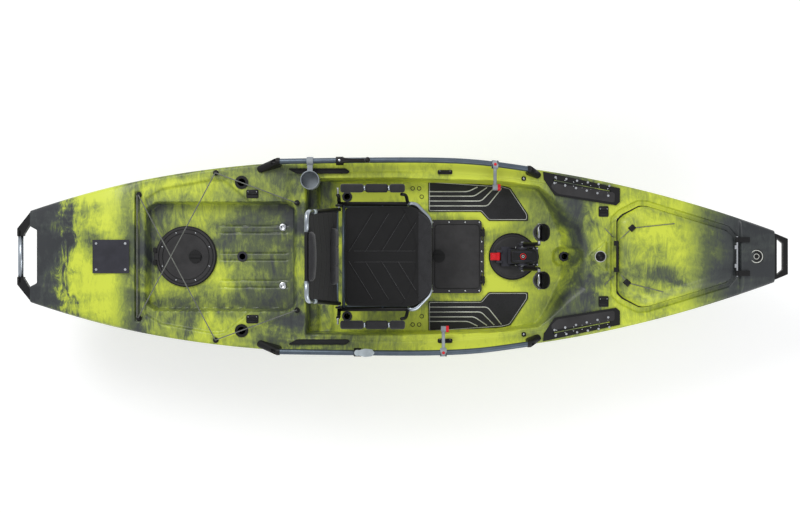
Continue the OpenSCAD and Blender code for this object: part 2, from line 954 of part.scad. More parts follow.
module steering_lever() {
    color(black)
        translate([steer_x, rail_y(steer_x), steer_z]) {
            cylinder(r = 20, h = 12);
            translate([0, 0, -13])
                cylinder(r = pivot_r, h = 14);
            translate([0, -11, 1])
                cube([steer_reach, 22, 9]);
            translate([steer_reach, 0, 1])
                cylinder(r = 13, h = 9);
            translate([steer_reach, 0, 10])
                cylinder(r = 15, h = 30);
        }
}

module rudder_paddle() {
    color("#a9b0b6")
        translate([paddle_x, -rail_y(paddle_x), steer_z]) {
            cylinder(r = 16, h = 9);
            translate([0, 0, -13])
                cylinder(r = pivot_r, h = 14);
            linear_extrude(height = 9)
                polygon([[0, 12], [0.45 * paddle_len, 22], [0.85 * paddle_len, 18], [paddle_len, 0],
                    [0.85 * paddle_len, -18], [0.45 * paddle_len, -22], [0, -12]]);
        }
}

arm_r = 9;
knob_r = 17;
// Each arm: place of its clamp along the rail, its length inward and the side of the boat
arm_port = [500, 122, 1];
arm_starboard = [224, 124, -1];

module clamp_arm(place) {
    x = place[0];
    tip = rail_y(x) - place[1];
    mirror([0, place[2] > 0 ? 0 : 1, 0])
        difference() {
            union() {
                rail_clamp(x, 34);
                translate([x, rail_y(x) - rail_r - 2, rail_z])
                    rotate([90, 0, 0])
                        cylinder(r = arm_r, h = place[1] - rail_r - 2);
                translate([x, tip, rail_z])
                    rotate([0, 90, 0])
                        cylinder(r = 16, h = 26, center = true);
            }
            rail_bore(x, 34);
            translate([x, tip, rail_z])
                rotate([0, 90, 0])
                    cylinder(r = pivot_r + run_gap, h = 40, center = true);
        }
}

module clamp_arms() {
    color("#777d84") {
        clamp_arm(arm_port);
        clamp_arm(arm_starboard);
    }
}

module clamp_knob(place) {
    translate([place[0], place[2] * (rail_y(place[0]) - place[1]), rail_z])
        rotate([0, 90, 0]) {
            translate([0, 0, -13])
                cylinder(r = pivot_r, h = 28);
            translate([0, 0, 13 + seat_gap])
                cylinder(r = knob_r, h = 15);
            for (a = [0 : 60 : 300])
                rotate([0, 0, a])
                    translate([knob_r - 2, 0, 13 + seat_gap])
                        cylinder(r = 4, h = 15);
        }
}

module clamp_knob_port() {
    color(red) clamp_knob(arm_port);
}

module clamp_knob_starboard() {
    color(red) clamp_knob(arm_starboard);
}

// ---------- Pedal drive ----------
trunk_low = 42;
column_r = 30;
turret_t = 12;
turret_z = cockpit_z + seat_gap;
turret_r = 130;
spine_half = 54;
spine_z = turret_z + turret_t + seat_gap;
spine_top = 292;
axle_x = drive_x + 44;
axle_z = 318;
axle_r = 9;
crank_w = 22;

module drive_trunk() {
    color(charcoal)
        translate([drive_x, 0, trunk_low])
            difference() {
                cylinder(r = drive_well_r, h = cockpit_z - trunk_low);
                translate([0, 0, -1])
                    cylinder(r = drive_r, h = cockpit_z);
            }
}

module drive_turret() {
    color(black)
        difference() {
            union() {
                translate([drive_x, 0, turret_z])
                    linear_extrude(height = turret_t)
                        hull() {
                            circle(r = turret_r);
                            translate([92, 0]) circle(r = 54);
                        }
                translate([drive_x, 0, trunk_low + 20])
                    cylinder(r = column_r + 12, h = turret_z - trunk_low - 19);
                translate([drive_x, 0, trunk_low + 4])
                    cylinder(r = drive_r - seat_gap, h = 17);
            }
            translate([drive_x, 0, 0])
                cylinder(r = column_r + run_gap, h = sheer_z);
        }
}

// The fixed spine over the turret that carries the crank axle
module drive_spine() {
    color(charcoal)
        difference() {
            union() {
                translate([drive_x - 64, -spine_half, spine_z])
                    cube([202, 2 * spine_half, 26]);
                translate([axle_x - 74, -spine_half + 14, spine_z + 25])
                    cube([148, 2 * (spine_half - 14), spine_top - spine_z - 25]);
                translate([axle_x, 0, axle_z])
                    rotate([90, 0, 0])
                        cylinder(r = 34, h = 2 * (spine_half - 4), center = true);
                on_both_sides()
                    translate([drive_x - 92, 23, spine_z])
                        cube([30, 12, 40]);
            }
            translate([axle_x, 0, axle_z])
                rotate([90, 0, 0])
                    cylinder(r = axle_r + run_gap, h = 300, center = true);
            translate([drive_x - 80, 0, spine_z + 28])
                rotate([90, 0, 0])
                    cylinder(r = 5 + run_gap, h = 100, center = true);
        }
}

module drive_lever() {
    color(red)
        translate([drive_x - 80, 0, spine_z + 28]) {
            rotate([90, 0, 0])
                cylinder(r = 5, h = 68, center = true);
            rotate([90, 0, 0])
                cylinder(r = 10, h = 44, center = true);
            translate([-44, -20, -3])
                cube([44, 40, 10]);
        }
}

module crank_axle() {
    color(silver)
        translate([axle_x, 0, axle_z])
            rotate([90, 0, 0])
                cylinder(r = axle_r, h = 2 * (spine_half + crank_w + 4), center = true);
}

pedal_rise = 150;
pedal_reach = 72;
pedal_tilt = 28;

module pedal(side) {
    mirror([0, side > 0 ? 0 : 1, 0])
        translate([axle_x, 0, axle_z])
            difference() {
                union() {
                    translate([0, spine_half + crank_w - 2, 0])
                        rotate([90, 0, 0])
                            cylinder(r = 25, h = crank_w - 4);
                    bar([0, spine_half + 11, 0], [pedal_reach, spine_half + 11, pedal_rise], 11);
                    bar([pedal_reach, spine_half + 11, pedal_rise], [pedal_reach, 176, pedal_rise], 9);
                    translate([pedal_reach, 78, pedal_rise])
                        rotate([0, pedal_tilt, 0])
                            translate([9, 0, -62])
                                cube([12, 96, 140]);
                    translate([pedal_reach, 78, pedal_rise])
                        rotate([0, pedal_tilt, 0])
                            translate([-12, 0, -70])
                                cube([34, 96, 9]);
                }
                rotate([90, 0, 0])
                    cylinder(r = axle_r + run_gap, h = 400, center = true);
            }
}

module pedal_port() {
    color(black) pedal(1);
}

module pedal_starboard() {
    color(black) pedal(-1);
}

// ---------- Lower unit and fins ----------
base_low = 8;
base_t = 17;
lug_gap = 17;
fin_z = -8;
fin_pin_r = 6;
fin_hub_r = 13;

module drive_column() {
    color(charcoal)
        translate([drive_x, 0, 0])
            difference() {
                union() {
                    translate([0, 0, base_low])
                        cylinder(r = column_r, h = spine_z - base_low - seat_gap);
                    translate([0, 0, base_low])
                        cylinder(r = 62, h = base_t);
                    translate([-fin_gap / 2 - 32, -25, base_low])
                        cube([fin_gap + 64, 50, base_t]);
                    for (m = [-1, 1], s = [-1, 1])
                        translate([m * fin_gap / 2 + s * (lug_gap + 5) - 4.5, -18, fin_z - 14])
                            cube([9, 36, base_low - fin_z + 16]);
                }
                translate([0, 0, fin_z])
                    rotate([0, 90, 0])
                        cylinder(r = fin_pin_r + run_gap, h = 400, center = true);
            }
}

// A fin hangs from its hub and trails aft of its mast
module fin(place) {
    translate([drive_x + place * fin_gap / 2, 0, fin_z]) {
        rotate([0, 90, 0])
            cylinder(r = fin_hub_r, h = 2 * lug_gap, center = true);
        rotate([0, 90, 0])
            cylinder(r = fin_pin_r, h = 2 * lug_gap + 18, center = true);
        translate([0, 0, -fin_len * 0.9])
            cylinder(r = 5, h = fin_len * 0.9);
        translate([0, 5, 0])
            rotate([90, 0, 0])
                linear_extrude(height = 10)
                    polygon([[9, -32], [7, -fin_len + 22], [-6, -fin_len + 6], [-76, -fin_len],
                        [-92, -fin_len + 12], [-90, -0.5 * fin_len], [-40, -0.16 * fin_len], [-32, -36]]);
    }
}

module fin_front() {
    color("#46494d") fin(1);
}

module fin_rear() {
    color("#46494d") fin(-1);
}

// ---------- Rudder and skeg ----------
stock_low = keel(rudder_x) + 4;
stock_top = sheer_z - 60;

module rudder_stock() {
    color(charcoal)
        translate([rudder_x, 0, stock_low])
            difference() {
                cylinder(r = rudder_stock_r + 8, h = stock_top - stock_low);
                translate([0, 0, -1])
                    cylinder(r = rudder_stock_r + run_gap, h = sheer_z);
            }
}

module rudder_blade() {
    color("#3c3f43") {
        translate([rudder_x, 0, 60])
            cylinder(r = rudder_stock_r, h = stock_top - 60 + 6);
        translate([rudder_x, 0, stock_top + seat_gap])
            cylinder(r = rudder_stock_r + 10, h = 8);
        translate([rudder_x, 7, 0])
            rotate([90, 0, 0])
                linear_extrude(height = 14)
                    polygon([[42, 88], [-118, 106], [-136, 40], [-122, -40], [-84, -80], [-36, -90], [6, -70],
                        [30, -20]]);
    }
}

skeg_turn = 24;
skeg_len = 455;
skeg_w = 112;
skeg_t = 12;
skeg_pin_r = 6;

module skeg_outline(grow) {
    steps = 8;
    span = skeg_slot[1] - skeg_slot[0];
    polygon(concat(
        [for (i = [0 : steps]) let (x = skeg_slot[0] - grow + i * (span + 2 * grow) / steps) [x, keel(x) + 1]],
        [[skeg_slot[1] + grow, trunk_top + grow], [skeg_slot[0] - grow, trunk_top + grow]]));
}

module skeg_trunk() {
    color(charcoal)
        difference() {
            translate([0, skeg_half_gap + trunk_wall, 0])
                rotate([90, 0, 0])
                    linear_extrude(height = 2 * (skeg_half_gap + trunk_wall))
                        skeg_outline(trunk_wall);
            translate([skeg_slot[0], -skeg_half_gap, -50])
                cube([skeg_slot[1] - skeg_slot[0], 2 * skeg_half_gap, trunk_top + 50]);
            translate([skeg_pivot[0], 0, skeg_pivot[1]])
                rotate([90, 0, 0])
                    cylinder(r = skeg_pin_r + run_gap, h = 60, center = true);
        }
}

module skeg_pin() {
    color(silver)
        translate([skeg_pivot[0], 0, skeg_pivot[1]])
            rotate([90, 0, 0])
                cylinder(r = skeg_pin_r, h = 2 * (skeg_half_gap + trunk_wall), center = true);
}

module skeg_blade() {
    color("#3c3f43")
        translate([skeg_pivot[0], skeg_t / 2, skeg_pivot[1]])
            rotate([90, -skeg_turn, 0])
                difference() {
                    linear_extrude(height = skeg_t)
                        polygon([[14, 12], [-30, 38], [-skeg_len + 60, 38], [-skeg_len + 10, 20],
                            [-skeg_len, -20], [-skeg_len + 26, -skeg_w + 44], [-skeg_len + 80, -skeg_w + 38],
                            [-60, -skeg_w + 38], [6, -40], [20, -14]]);
                    translate([0, 0, -1])
                        cylinder(r = skeg_pin_r + run_gap, h = skeg_t + 2);
                }
}

// ---------- Seat ----------
seat_z = cockpit_z + seat_rise;
seat_back_x = -330;
seat_turn_x = 70;
seat_front = [150, 195];
back_z = seat_z + 35;
back_half = 248;
back_top_half = 214;
arm_y = 326;
arm_z = seat_z + 128;
arm_len = 340;
runner_z = cockpit_z + seat_tube_r + seat_gap;
ear_t = 10;

module seat_base() {
    color(silver) {
        on_both_sides() {
            difference() {
                union() {
                    pipe([[seat_back_x, seat_half, seat_z], [seat_turn_x, seat_half, seat_z],
                        [seat_front[0], seat_front[1], seat_z], [seat_front[0], -1, seat_z]], seat_tube_r);
                    pipe([[seat_back_x, seat_half, seat_z], [seat_back_x, seat_half, runner_z],
                        [50, seat_half, runner_z], [50, seat_half, seat_z]], seat_tube_r - 0.7);
                    for (x = [seat_back_x + 24, -100])
                        bar([x, seat_half, seat_z], [x, -1, seat_z], seat_tube_r - 3, false);
                    pipe([[seat_back_x, seat_half, seat_z], [seat_back_x, arm_y - 8, seat_z + 40],
                        [seat_back_x, arm_y - 8, arm_z]], seat_tube_r - 2);
                    pipe([[34, seat_half, seat_z], [24, arm_y - 2, seat_z + 46], [0, arm_y - 2, arm_z - 28]],
                        seat_tube_r - 3);
                    translate([seat_back_x - 18, seat_half - ear_t - 4, seat_z])
                        cube([36, ear_t, 52]);
                    translate([seat_back_x, arm_y + 26, arm_z])
                        rotate([90, 0, 0])
                            cylinder(r = pivot_r, h = 40);
                }
                translate([seat_back_x, 0, back_z])
                    rotate([90, 0, 0])
                        cylinder(r = pivot_r + run_gap, h = 2 * seat_half, center = true);
            }
        }
    }
}

module seat_pan() {
    color(black)
        translate([0, 0, seat_z + seat_tube_r * ball_share + seat_gap])
            linear_extrude(height = 14)
                mirrored_outline([[seat_back_x + 34, seat_half - 14], [seat_turn_x, seat_half - 14],
                    [seat_front[0] + 8, seat_front[1] - 6]], 12);
}

// Places things in the plane of the backrest: x across the boat, y up the back, z forward
module in_back_plane() {
    translate([seat_back_x, 0, back_z])
        rotate([0, -back_lean, 0])
            rotate([90, 0, 90])
                children();
}

module back_frame() {
    color(silver)
        in_back_plane() {
            for (s = [-1, 1]) {
                bar([s * back_half, -8, 0], [s * back_top_half, back_len - 4, 0], seat_tube_r - 1, false);
                translate([s * (back_half + 10), 0, 0])
                    rotate([0, 90, 0])
                        cylinder(r = pivot_r, h = 38, center = true);
            }
            translate([-back_top_half - 12, back_len, 0])
                rotate([0, 90, 0])
                    cylinder(r = seat_tube_r + 0.5, h = 2 * (back_top_half + 12));
            bar([-back_half, 34, 0], [back_half, 34, 0], seat_tube_r - 3, false);
        }
}

module back_mesh() {
    edge = seat_tube_r - 1 + 2 * seat_gap;
    low = back_half - 52 / back_len * (back_half - back_top_half) - edge;
    high = back_top_half - edge;
    color(black)
        in_back_plane() {
            translate([0, 0, -8])
                linear_extrude(height = 16)
                    polygon([[-low, 52], [low, 52], [high, back_len - edge - 2], [-high, back_len - edge - 2]]);
            translate([0, 120, 20])
                cube([300, 100, 22], center = true);
            translate([0, back_len - 20, seat_tube_r + 0.5 + seat_gap + 15])
                cube([236, 64, 30], center = true);
        }
}

module armrest(side) {
    mirror([0, side > 0 ? 0 : 1, 0])
        difference() {
            union() {
                translate([seat_back_x + 10, arm_y + 5, arm_z - 16])
                    cube([arm_len, 46, 34]);
                translate([seat_back_x, arm_y + 24, arm_z])
                    rotate([90, 0, 0])
                        cylinder(r = 16, h = 19);
            }
            translate([seat_back_x, arm_y + 60, arm_z])
                rotate([90, 0, 0])
                    cylinder(r = pivot_r + run_gap, h = 120);
        }
}

module armrest_port() {
    color(black) armrest(1);
}

module armrest_starboard() {
    color(black) armrest(-1);
}

hull_shell();
deck();
deck_wells();
bow_handle();
stern_handle();
stern_handle_elbows();
stern_plate();
deck_fasteners();
rails();
rail_boots();
track_plates();
side_pockets();
bow_hatch_lid();
bow_hatch_handle();
bow_hatch_seal();
bow_hatch_hinges();
bow_hatch_pin();
bow_liner();
centre_hatch_frame();
centre_hatch_lid();
centre_hatch_latch();
centre_bucket();
rear_hatch_ring();
rear_hatch_lid();
rear_hatch_latch();
rear_bucket();
cargo_bungee();
bungee_hooks();
deck_cleats();
scupper_tubes();
rod_holders();
deck_pads();
cup_holder();
steering_bracket();
steering_lever();
rudder_paddle();
clamp_arms();
clamp_knob_port();
clamp_knob_starboard();
drive_trunk();
drive_turret();
drive_spine();
drive_lever();
crank_axle();
pedal_port();
pedal_starboard();
drive_column();
fin_front();
fin_rear();
rudder_stock();
rudder_blade();
skeg_trunk();
skeg_pin();
skeg_blade();
seat_base();
seat_pan();
back_frame();
back_mesh();
armrest_port();
armrest_starboard();
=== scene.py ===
import bpy
import bmesh
import math
from contextlib import contextmanager
import numpy as np
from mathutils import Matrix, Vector


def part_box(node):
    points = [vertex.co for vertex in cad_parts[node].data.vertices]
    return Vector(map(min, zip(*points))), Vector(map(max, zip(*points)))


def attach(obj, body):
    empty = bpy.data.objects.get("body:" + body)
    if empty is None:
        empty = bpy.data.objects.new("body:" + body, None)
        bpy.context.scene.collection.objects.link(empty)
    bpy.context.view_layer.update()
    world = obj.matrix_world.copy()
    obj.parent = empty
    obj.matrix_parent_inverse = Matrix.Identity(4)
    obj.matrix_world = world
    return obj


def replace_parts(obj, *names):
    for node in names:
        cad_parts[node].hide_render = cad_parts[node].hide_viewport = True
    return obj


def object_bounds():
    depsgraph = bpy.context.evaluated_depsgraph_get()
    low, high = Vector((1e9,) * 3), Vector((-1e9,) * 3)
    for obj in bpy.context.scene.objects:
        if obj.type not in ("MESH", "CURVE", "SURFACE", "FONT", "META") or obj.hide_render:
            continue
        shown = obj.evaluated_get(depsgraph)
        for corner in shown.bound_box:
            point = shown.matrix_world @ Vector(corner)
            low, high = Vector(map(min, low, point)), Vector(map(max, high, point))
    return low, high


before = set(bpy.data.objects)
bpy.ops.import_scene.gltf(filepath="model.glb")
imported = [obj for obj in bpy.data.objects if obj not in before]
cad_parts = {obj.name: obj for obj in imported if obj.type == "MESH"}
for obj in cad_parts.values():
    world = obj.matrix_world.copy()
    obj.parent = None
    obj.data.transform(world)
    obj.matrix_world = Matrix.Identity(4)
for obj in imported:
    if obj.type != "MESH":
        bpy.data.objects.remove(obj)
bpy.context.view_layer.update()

scene = bpy.context.scene
MM = 0.001
WELD = 0.00002            # points nearer than this, in metres, are one
SHARP = math.radians(50)  # edges that turn by more are shaded sharp


def corners(node):
    """Lowest and highest corner of a CAD node, in millimetres."""
    low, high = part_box(node)
    return np.array(low) / MM, np.array(high) / MM


# ---------------------------------------------------------------- materials

class Nodes:
    """A short way to write a material's node tree."""

    def __init__(self, name):
        self.material = bpy.data.materials.new(name)
        self.material.use_nodes = True
        self.tree = self.material.node_tree
        self.shader = self.tree.nodes["Principled BSDF"]

    def add(self, kind, inputs=None, **settings):
        node = self.tree.nodes.new(kind)
        for key, value in settings.items():
            setattr(node, key, value)
        for key, value in (inputs or {}).items():
            if isinstance(value, bpy.types.NodeSocket):
                self.tree.links.new(value, node.inputs[key])
            else:
                node.inputs[key].default_value = value
        return node

    def link(self, source, socket):
        self.tree.links.new(source, self.shader.inputs[socket])

    def place(self, scale=(1, 1, 1)):
        where = self.add("ShaderNodeTexCoord")
        return self.add("ShaderNodeMapping", {"Vector": where.outputs["Object"], "Scale": scale}).outputs[0]

    def noise(self, scale, detail=4.0, rough=0.55, stretch=(1, 1, 1), distortion=0.0):
        made = self.add("ShaderNodeTexNoise", {"Vector": self.place(stretch), "Scale": scale,
                "Detail": detail, "Roughness": rough, "Distortion": distortion})
        return made.outputs["Fac"]

    def math(self, kind, a, b=0.0, c=0.0):
        node = self.add("ShaderNodeMath", operation=kind)
        for i, value in enumerate((a, b, c)):
            if isinstance(value, bpy.types.NodeSocket):
                self.tree.links.new(value, node.inputs[i])
            else:
                node.inputs[i].default_value = value
        return node.outputs[0]

    def ramp(self, value, stops, smooth=True):
        node = self.add("ShaderNodeValToRGB", {"Fac": value})
        node.color_ramp.interpolation = "EASE" if smooth else "LINEAR"
        elements = node.color_ramp.elements
        while len(elements) < len(stops):
            elements.new(0.5)
        for element, (position, colour) in zip(elements, stops):
            element.position = position
            element.color = tuple(colour) + (1.0,) if len(colour) == 3 else colour
        return node.outputs["Color"]

    def span(self, value, low, high):
        node = self.add("ShaderNodeMapRange", {"Value": value, "To Min": low, "To Max": high})
        return node.outputs[0]

    def bump(self, height, strength, distance):
        node = self.add("ShaderNodeBump", {"Height": height, "Strength": strength, "Distance": distance})
        self.link(node.outputs[0], "Normal")


def linear(r, g, b):
    """A screen colour in 0 to 255 as linear light."""
    return tuple(((c / 255 + 0.055) / 1.055) ** 2.4 if c > 10 else c / 255 / 12.92 for c in (r, g, b))


def scaled(colour, k):
    return tuple(min(1.0, c * k) for c in colour)


def plastic(name, colour, rough=0.45, grain=0.25, mottling=0.25, scuffs=0.12):
    """Moulded plastic: fine grain, faint mottling and pale scuffs."""
    n = Nodes(name)
    patches = n.noise(9.0, 5.0, 0.6)
    marks = n.noise(60.0, 8.0, 0.75, (1, 5, 3), 0.4)
    shade = n.ramp(patches, [(0.3, scaled(colour, 1 - mottling)), (0.7, scaled(colour, 1 + mottling))])
    mask = n.math("MULTIPLY", n.ramp(marks, [(0.62, (0, 0, 0)), (0.8, (1, 1, 1))]), scuffs)
    pale = tuple(min(1.0, c * 2.2 + 0.05) for c in colour) + (1.0,)
    mixed = n.add("ShaderNodeMixRGB", {"Fac": mask, "Color1": shade, "Color2": pale})
    n.link(mixed.outputs[0], "Base Color")
    n.link(n.span(marks, rough - 0.1, rough + 0.14), "Roughness")
    n.shader.inputs["Specular IOR Level"].default_value = 0.32
    n.bump(n.noise(900.0, 3.0, 0.6), grain, 0.0006)
    return n.material


def metal(name, colour, rough=0.32, brushed=(1, 40, 40), metallic=1.0):
    """Drawn or anodised metal with fine lines and cloudy finger marks."""
    n = Nodes(name)
    lines = n.noise(40.0, 3.0, 0.7, brushed)
    clouds = n.noise(14.0, 4.0, 0.6)
    n.link(n.ramp(clouds, [(0.3, scaled(colour, 0.86)), (0.7, scaled(colour, 1.1))]), "Base Color")
    n.shader.inputs["Metallic"].default_value = metallic
    n.link(n.span(lines, rough - 0.1, rough + 0.16), "Roughness")
    n.bump(lines, 0.12, 0.0003)
    return n.material


LIME = linear(206, 218, 66)
OLIVE = linear(138, 152, 66)
MOSS = linear(88, 99, 62)
CHARCOAL = linear(60, 65, 64)


def camouflage(name):
    """Swirled lime, olive and charcoal resin, with brushed edges along each blotch."""
    n = Nodes(name)
    big = n.noise(1.5, 4.0, 0.6, (1.0, 1.7, 2.2), 0.7)
    brush = n.noise(7.0, 9.0, 0.78, (2.6, 0.9, 1.2), 1.1)
    fine = n.noise(46.0, 8.0, 0.75, (1.6, 0.7, 0.8), 0.6)
    where = n.add("ShaderNodeTexCoord")
    along = n.add("ShaderNodeSeparateXYZ", {"Vector": where.outputs["Object"]}).outputs[0]
    bent = n.math("MULTIPLY_ADD", n.math("SUBTRACT", big, 0.5), 0.30, along)
    bent = n.math("MULTIPLY_ADD", n.math("SUBTRACT", brush, 0.5), 0.34, bent)
    share = n.add("ShaderNodeMapRange", {"Value": bent, "From Min": -2.05, "From Max": 2.05}).outputs[0]
    # How pale the resin is along the boat, from the stern (0) to the bow (1)
    bands = [(0.0, 0.20), (0.045, 0.24), (0.075, 0.64), (0.115, 0.72), (0.15, 0.38), (0.185, 0.48),
            (0.27, 0.54), (0.35, 0.44), (0.42, 0.62), (0.52, 0.58), (0.62, 0.72), (0.72, 0.50),
            (0.79, 0.58), (0.865, 0.70), (0.905, 0.46), (0.94, 0.30), (1.0, 0.24)]
    bias = n.ramp(share, [(p, (v, v, v)) for p, v in bands])
    tone = n.math("MULTIPLY_ADD", n.math("SUBTRACT", big, 0.5), 1.25, bias)
    tone = n.math("MULTIPLY_ADD", n.math("SUBTRACT", brush, 0.5), 0.62, tone)
    tone = n.math("MULTIPLY_ADD", n.math("SUBTRACT", fine, 0.5), 0.26, tone)
    colour = n.ramp(tone, [(0.16, linear(44, 47, 50)), (0.30, CHARCOAL), (0.42, MOSS), (0.53, OLIVE),
            (0.64, linear(176, 190, 62)), (0.76, LIME)], smooth=False)
    n.link(colour, "Base Color")
    n.link(n.span(fine, 0.34, 0.50), "Roughness")
    n.shader.inputs["Coat Weight"].default_value = 0.06
    n.bump(n.noise(700.0, 3.0, 0.6), 0.18, 0.0006)
    return n.material


def fabric(name, colour, thread=700.0, depth=0.0008, sheen=0.25):
    """Woven cloth: two crossed sets of threads with uneven dye."""
    n = Nodes(name)
    where = n.place()
    waves = [n.add("ShaderNodeTexWave", {"Vector": where, "Scale": thread / 6.28, "Distortion": 0.35},
            wave_type="BANDS", bands_direction=axis).outputs["Fac"] for axis in ("X", "Y")]
    weave = n.math("MULTIPLY", waves[0], waves[1])
    dye = n.noise(22.0, 5.0, 0.6)
    both = n.math("MULTIPLY_ADD", dye, 0.55, n.math("MULTIPLY", weave, 0.45))
    n.link(n.ramp(both, [(0.2, scaled(colour, 0.45)), (0.75, scaled(colour, 1.5))]), "Base Color")
    n.shader.inputs["Roughness"].default_value = 0.86
    n.shader.inputs["Sheen Weight"].default_value = sheen
    n.shader.inputs["Sheen Roughness"].default_value = 0.5
    n.bump(weave, 0.55, depth)
    return n.material


def foam(name, colour):
    """Closed-cell foam sheet with a brushed, pebbled face."""
    n = Nodes(name)
    cells = n.add("ShaderNodeTexVoronoi", {"Vector": n.place(), "Scale": 420.0}).outputs["Distance"]
    dye = n.noise(12.0, 6.0, 0.7)
    n.link(n.ramp(dye, [(0.3, scaled(colour, 0.75)), (0.7, scaled(colour, 1.35))]), "Base Color")
    n.link(n.span(cells, 0.62, 0.9), "Roughness")
    n.bump(cells, 0.5, 0.0006)
    return n.material


CAMO = camouflage("camo_resin")
BLACK = plastic("black_moulding", linear(17, 17, 18), 0.44)
LIDS = plastic("hatch_lid_moulding", linear(47, 46, 47), 0.55, grain=0.5)
DARK = plastic("charcoal_moulding", linear(46, 46, 54), 0.55, grain=0.5)
GREY = plastic("grey_moulding", linear(140, 147, 152), 0.45)
PALE = plastic("pale_moulding", linear(168, 178, 182), 0.4)
RED = plastic("red_moulding", linear(205, 28, 36), 0.3, grain=0.1, mottling=0.1)
FIN = plastic("fin_elastomer", linear(62, 65, 70), 0.55, grain=0.5, mottling=0.2)
RUBBER = plastic("rubber_seal_face", linear(24, 24, 26), 0.75, grain=0.4)
STEEL = metal("stainless_steel", linear(205, 208, 212), 0.25)
SILVER = metal("silver_tube", linear(176, 184, 192), 0.3)
SLATE = metal("slate_anodised_tube", linear(92, 103, 114), 0.36, metallic=0.75)
WEAVE = fabric("seat_mesh_cloth", linear(13, 13, 14), sheen=0.05)
BAND = fabric("seat_edge_cloth", linear(36, 36, 39), 1400.0, 0.0004)
EVA = foam("deck_foam", linear(24, 24, 27))
LINE = plastic("pale_inlay", linear(196, 198, 190), 0.6)
CORD = fabric("braided_cord", linear(120, 122, 116), 2200.0, 0.0003)
WEBBING = fabric("black_webbing", linear(26, 26, 28), 1500.0, 0.0005)

# ---------------------------------------------------------------- mesh helpers


def piece(name, points, faces, material, body="hull", smooth=True, scale=MM):
    """A new mesh piece from millimetre points, riding on a body."""
    data = bpy.data.meshes.new(name)
    data.from_pydata([tuple(float(c) * scale for c in p) for p in points], [],
            [tuple(int(i) for i in f) for f in faces])
    data.update()
    data.materials.append(material)
    if smooth:
        data.shade_smooth()
    made = bpy.data.objects.new(name, data)
    scene.collection.objects.link(made)
    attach(made, body)
    return made


@contextmanager
def edited(made):
    """A piece's mesh open for edits, and then written back with its faces turned outward."""
    bm = bmesh.new()
    bm.from_mesh(made.data)
    yield bm
    bmesh.ops.recalc_face_normals(bm, faces=bm.faces)
    bm.to_mesh(made.data)
    bm.free()


def modify(made, kind, **settings):
    changed = made.modifiers.new(kind.lower(), kind)
    for key, value in settings.items():
        setattr(changed, key, value)
    return changed


def soften(made, width=1.5, segments=2, angle=35):
    """Rounded edges, as moulded and machined pieces have."""
    modify(made, "BEVEL", width=width * MM, segments=segments, limit_method="ANGLE",
            angle_limit=math.radians(angle), harden_normals=False)
    return made


def curve_through(points, steps=8, closed=False):
    """A smooth line through the points (Catmull-Rom)."""
    p = np.array(points, float)
    count = len(p)
    line = []
    for i in range(count if closed else count - 1):
        if closed:
            a, b, c, d = (p[(i + k) % count] for k in (-1, 0, 1, 2))
        else:
            a, b, c, d = p[max(i - 1, 0)], p[i], p[i + 1], p[min(i + 2, count - 1)]
        for k in range(steps):
            t = k / steps
            line.append(0.5 * ((2 * b) + (c - a) * t + (2 * a - 5 * b + 4 * c - d) * t * t
                    + (3 * b - a - 3 * c + d) * t ** 3))
    if not closed:
        line.append(p[-1])
    return np.array(line)


def rounded(points, radius, steps=5, closed=False):
    """A line whose corners are turned into arcs of about the given radius."""
    p = [np.array(q, float) for q in points]
    count = len(p)
    line = []
    for i in range(count):
        if not closed and i in (0, count - 1):
            line.append(p[i])
            continue
        before, here, after = p[i - 1], p[i], p[(i + 1) % count]
        r = min(radius, 0.45 * np.linalg.norm(before - here), 0.45 * np.linalg.norm(after - here))
        start = here + (before - here) / np.linalg.norm(before - here) * r
        end = here + (after - here) / np.linalg.norm(after - here) * r
        for k in range(steps + 1):
            t = k / steps
            line.append((1 - t) ** 2 * start + 2 * t * (1 - t) * here + t * t * end)
    return np.array(line)


def sweep(name, line, radius, material, body="hull", sides=14, closed=False, flat=1.0):
    """A tube along a line; radius may vary along it, and flat squashes it upward."""
    line = np.array(line, float)
    count = len(line)
    radii = np.full(count, float(radius)) if np.isscalar(radius) else np.array(radius, float)
    ahead = np.roll(line, -1, 0) - np.roll(line, 1, 0)
    if not closed:
        ahead[0], ahead[-1] = line[1] - line[0], line[-1] - line[-2]
    ahead /= np.linalg.norm(ahead, axis=1)[:, None]
    side = np.cross(ahead[0], (0, 0, 1.0))
    if np.linalg.norm(side) < 0.1:
        side = np.cross(ahead[0], (0, 1.0, 0))
    points, faces = [], []
    for i in range(count):
        side = side - ahead[i] * np.dot(side, ahead[i])
        side /= np.linalg.norm(side)
        up = np.cross(side, ahead[i])
        for k in range(sides):
            a = 2 * math.pi * k / sides
            points.append(line[i] + radii[i] * (math.cos(a) * side + flat * math.sin(a) * up))
    for i in range(count if closed else count - 1):
        for k in range(sides):
            j, m = (i + 1) % count, (k + 1) % sides
            faces.append((i * sides + k, j * sides + k, j * sides + m, i * sides + m))
    if not closed:
        faces.append(tuple(range(sides)))
        faces.append(tuple(reversed(range((count - 1) * sides, count * sides))))
    return piece(name, points, faces, material, body)


def lathe(name, profile, centre, material, body="hull", sides=40, axis="Z"):
    """A turned piece: (radius, height) pairs about an axis through the centre."""
    points, faces = [], []
    for r, h in profile:
        for k in range(sides):
            a = 2 * math.pi * k / sides
            p = (r * math.cos(a), r * math.sin(a), h)
            points.append({"Z": p, "X": (p[2], p[0], p[1]), "Y": (p[1], p[2], p[0])}[axis])
    for i in range(len(profile) - 1):
        for k in range(sides):
            m = (k + 1) % sides
            faces.append((i * sides + k, i * sides + m, (i + 1) * sides + m, (i + 1) * sides + k))
    faces.append(tuple(reversed(range(sides))))
    faces.append(tuple(range((len(profile) - 1) * sides, len(profile) * sides)))
    return piece(name, np.array(points) + np.array(centre), faces, material, body)


def sit(made):
    """Returns the piece as it is."""
    return made


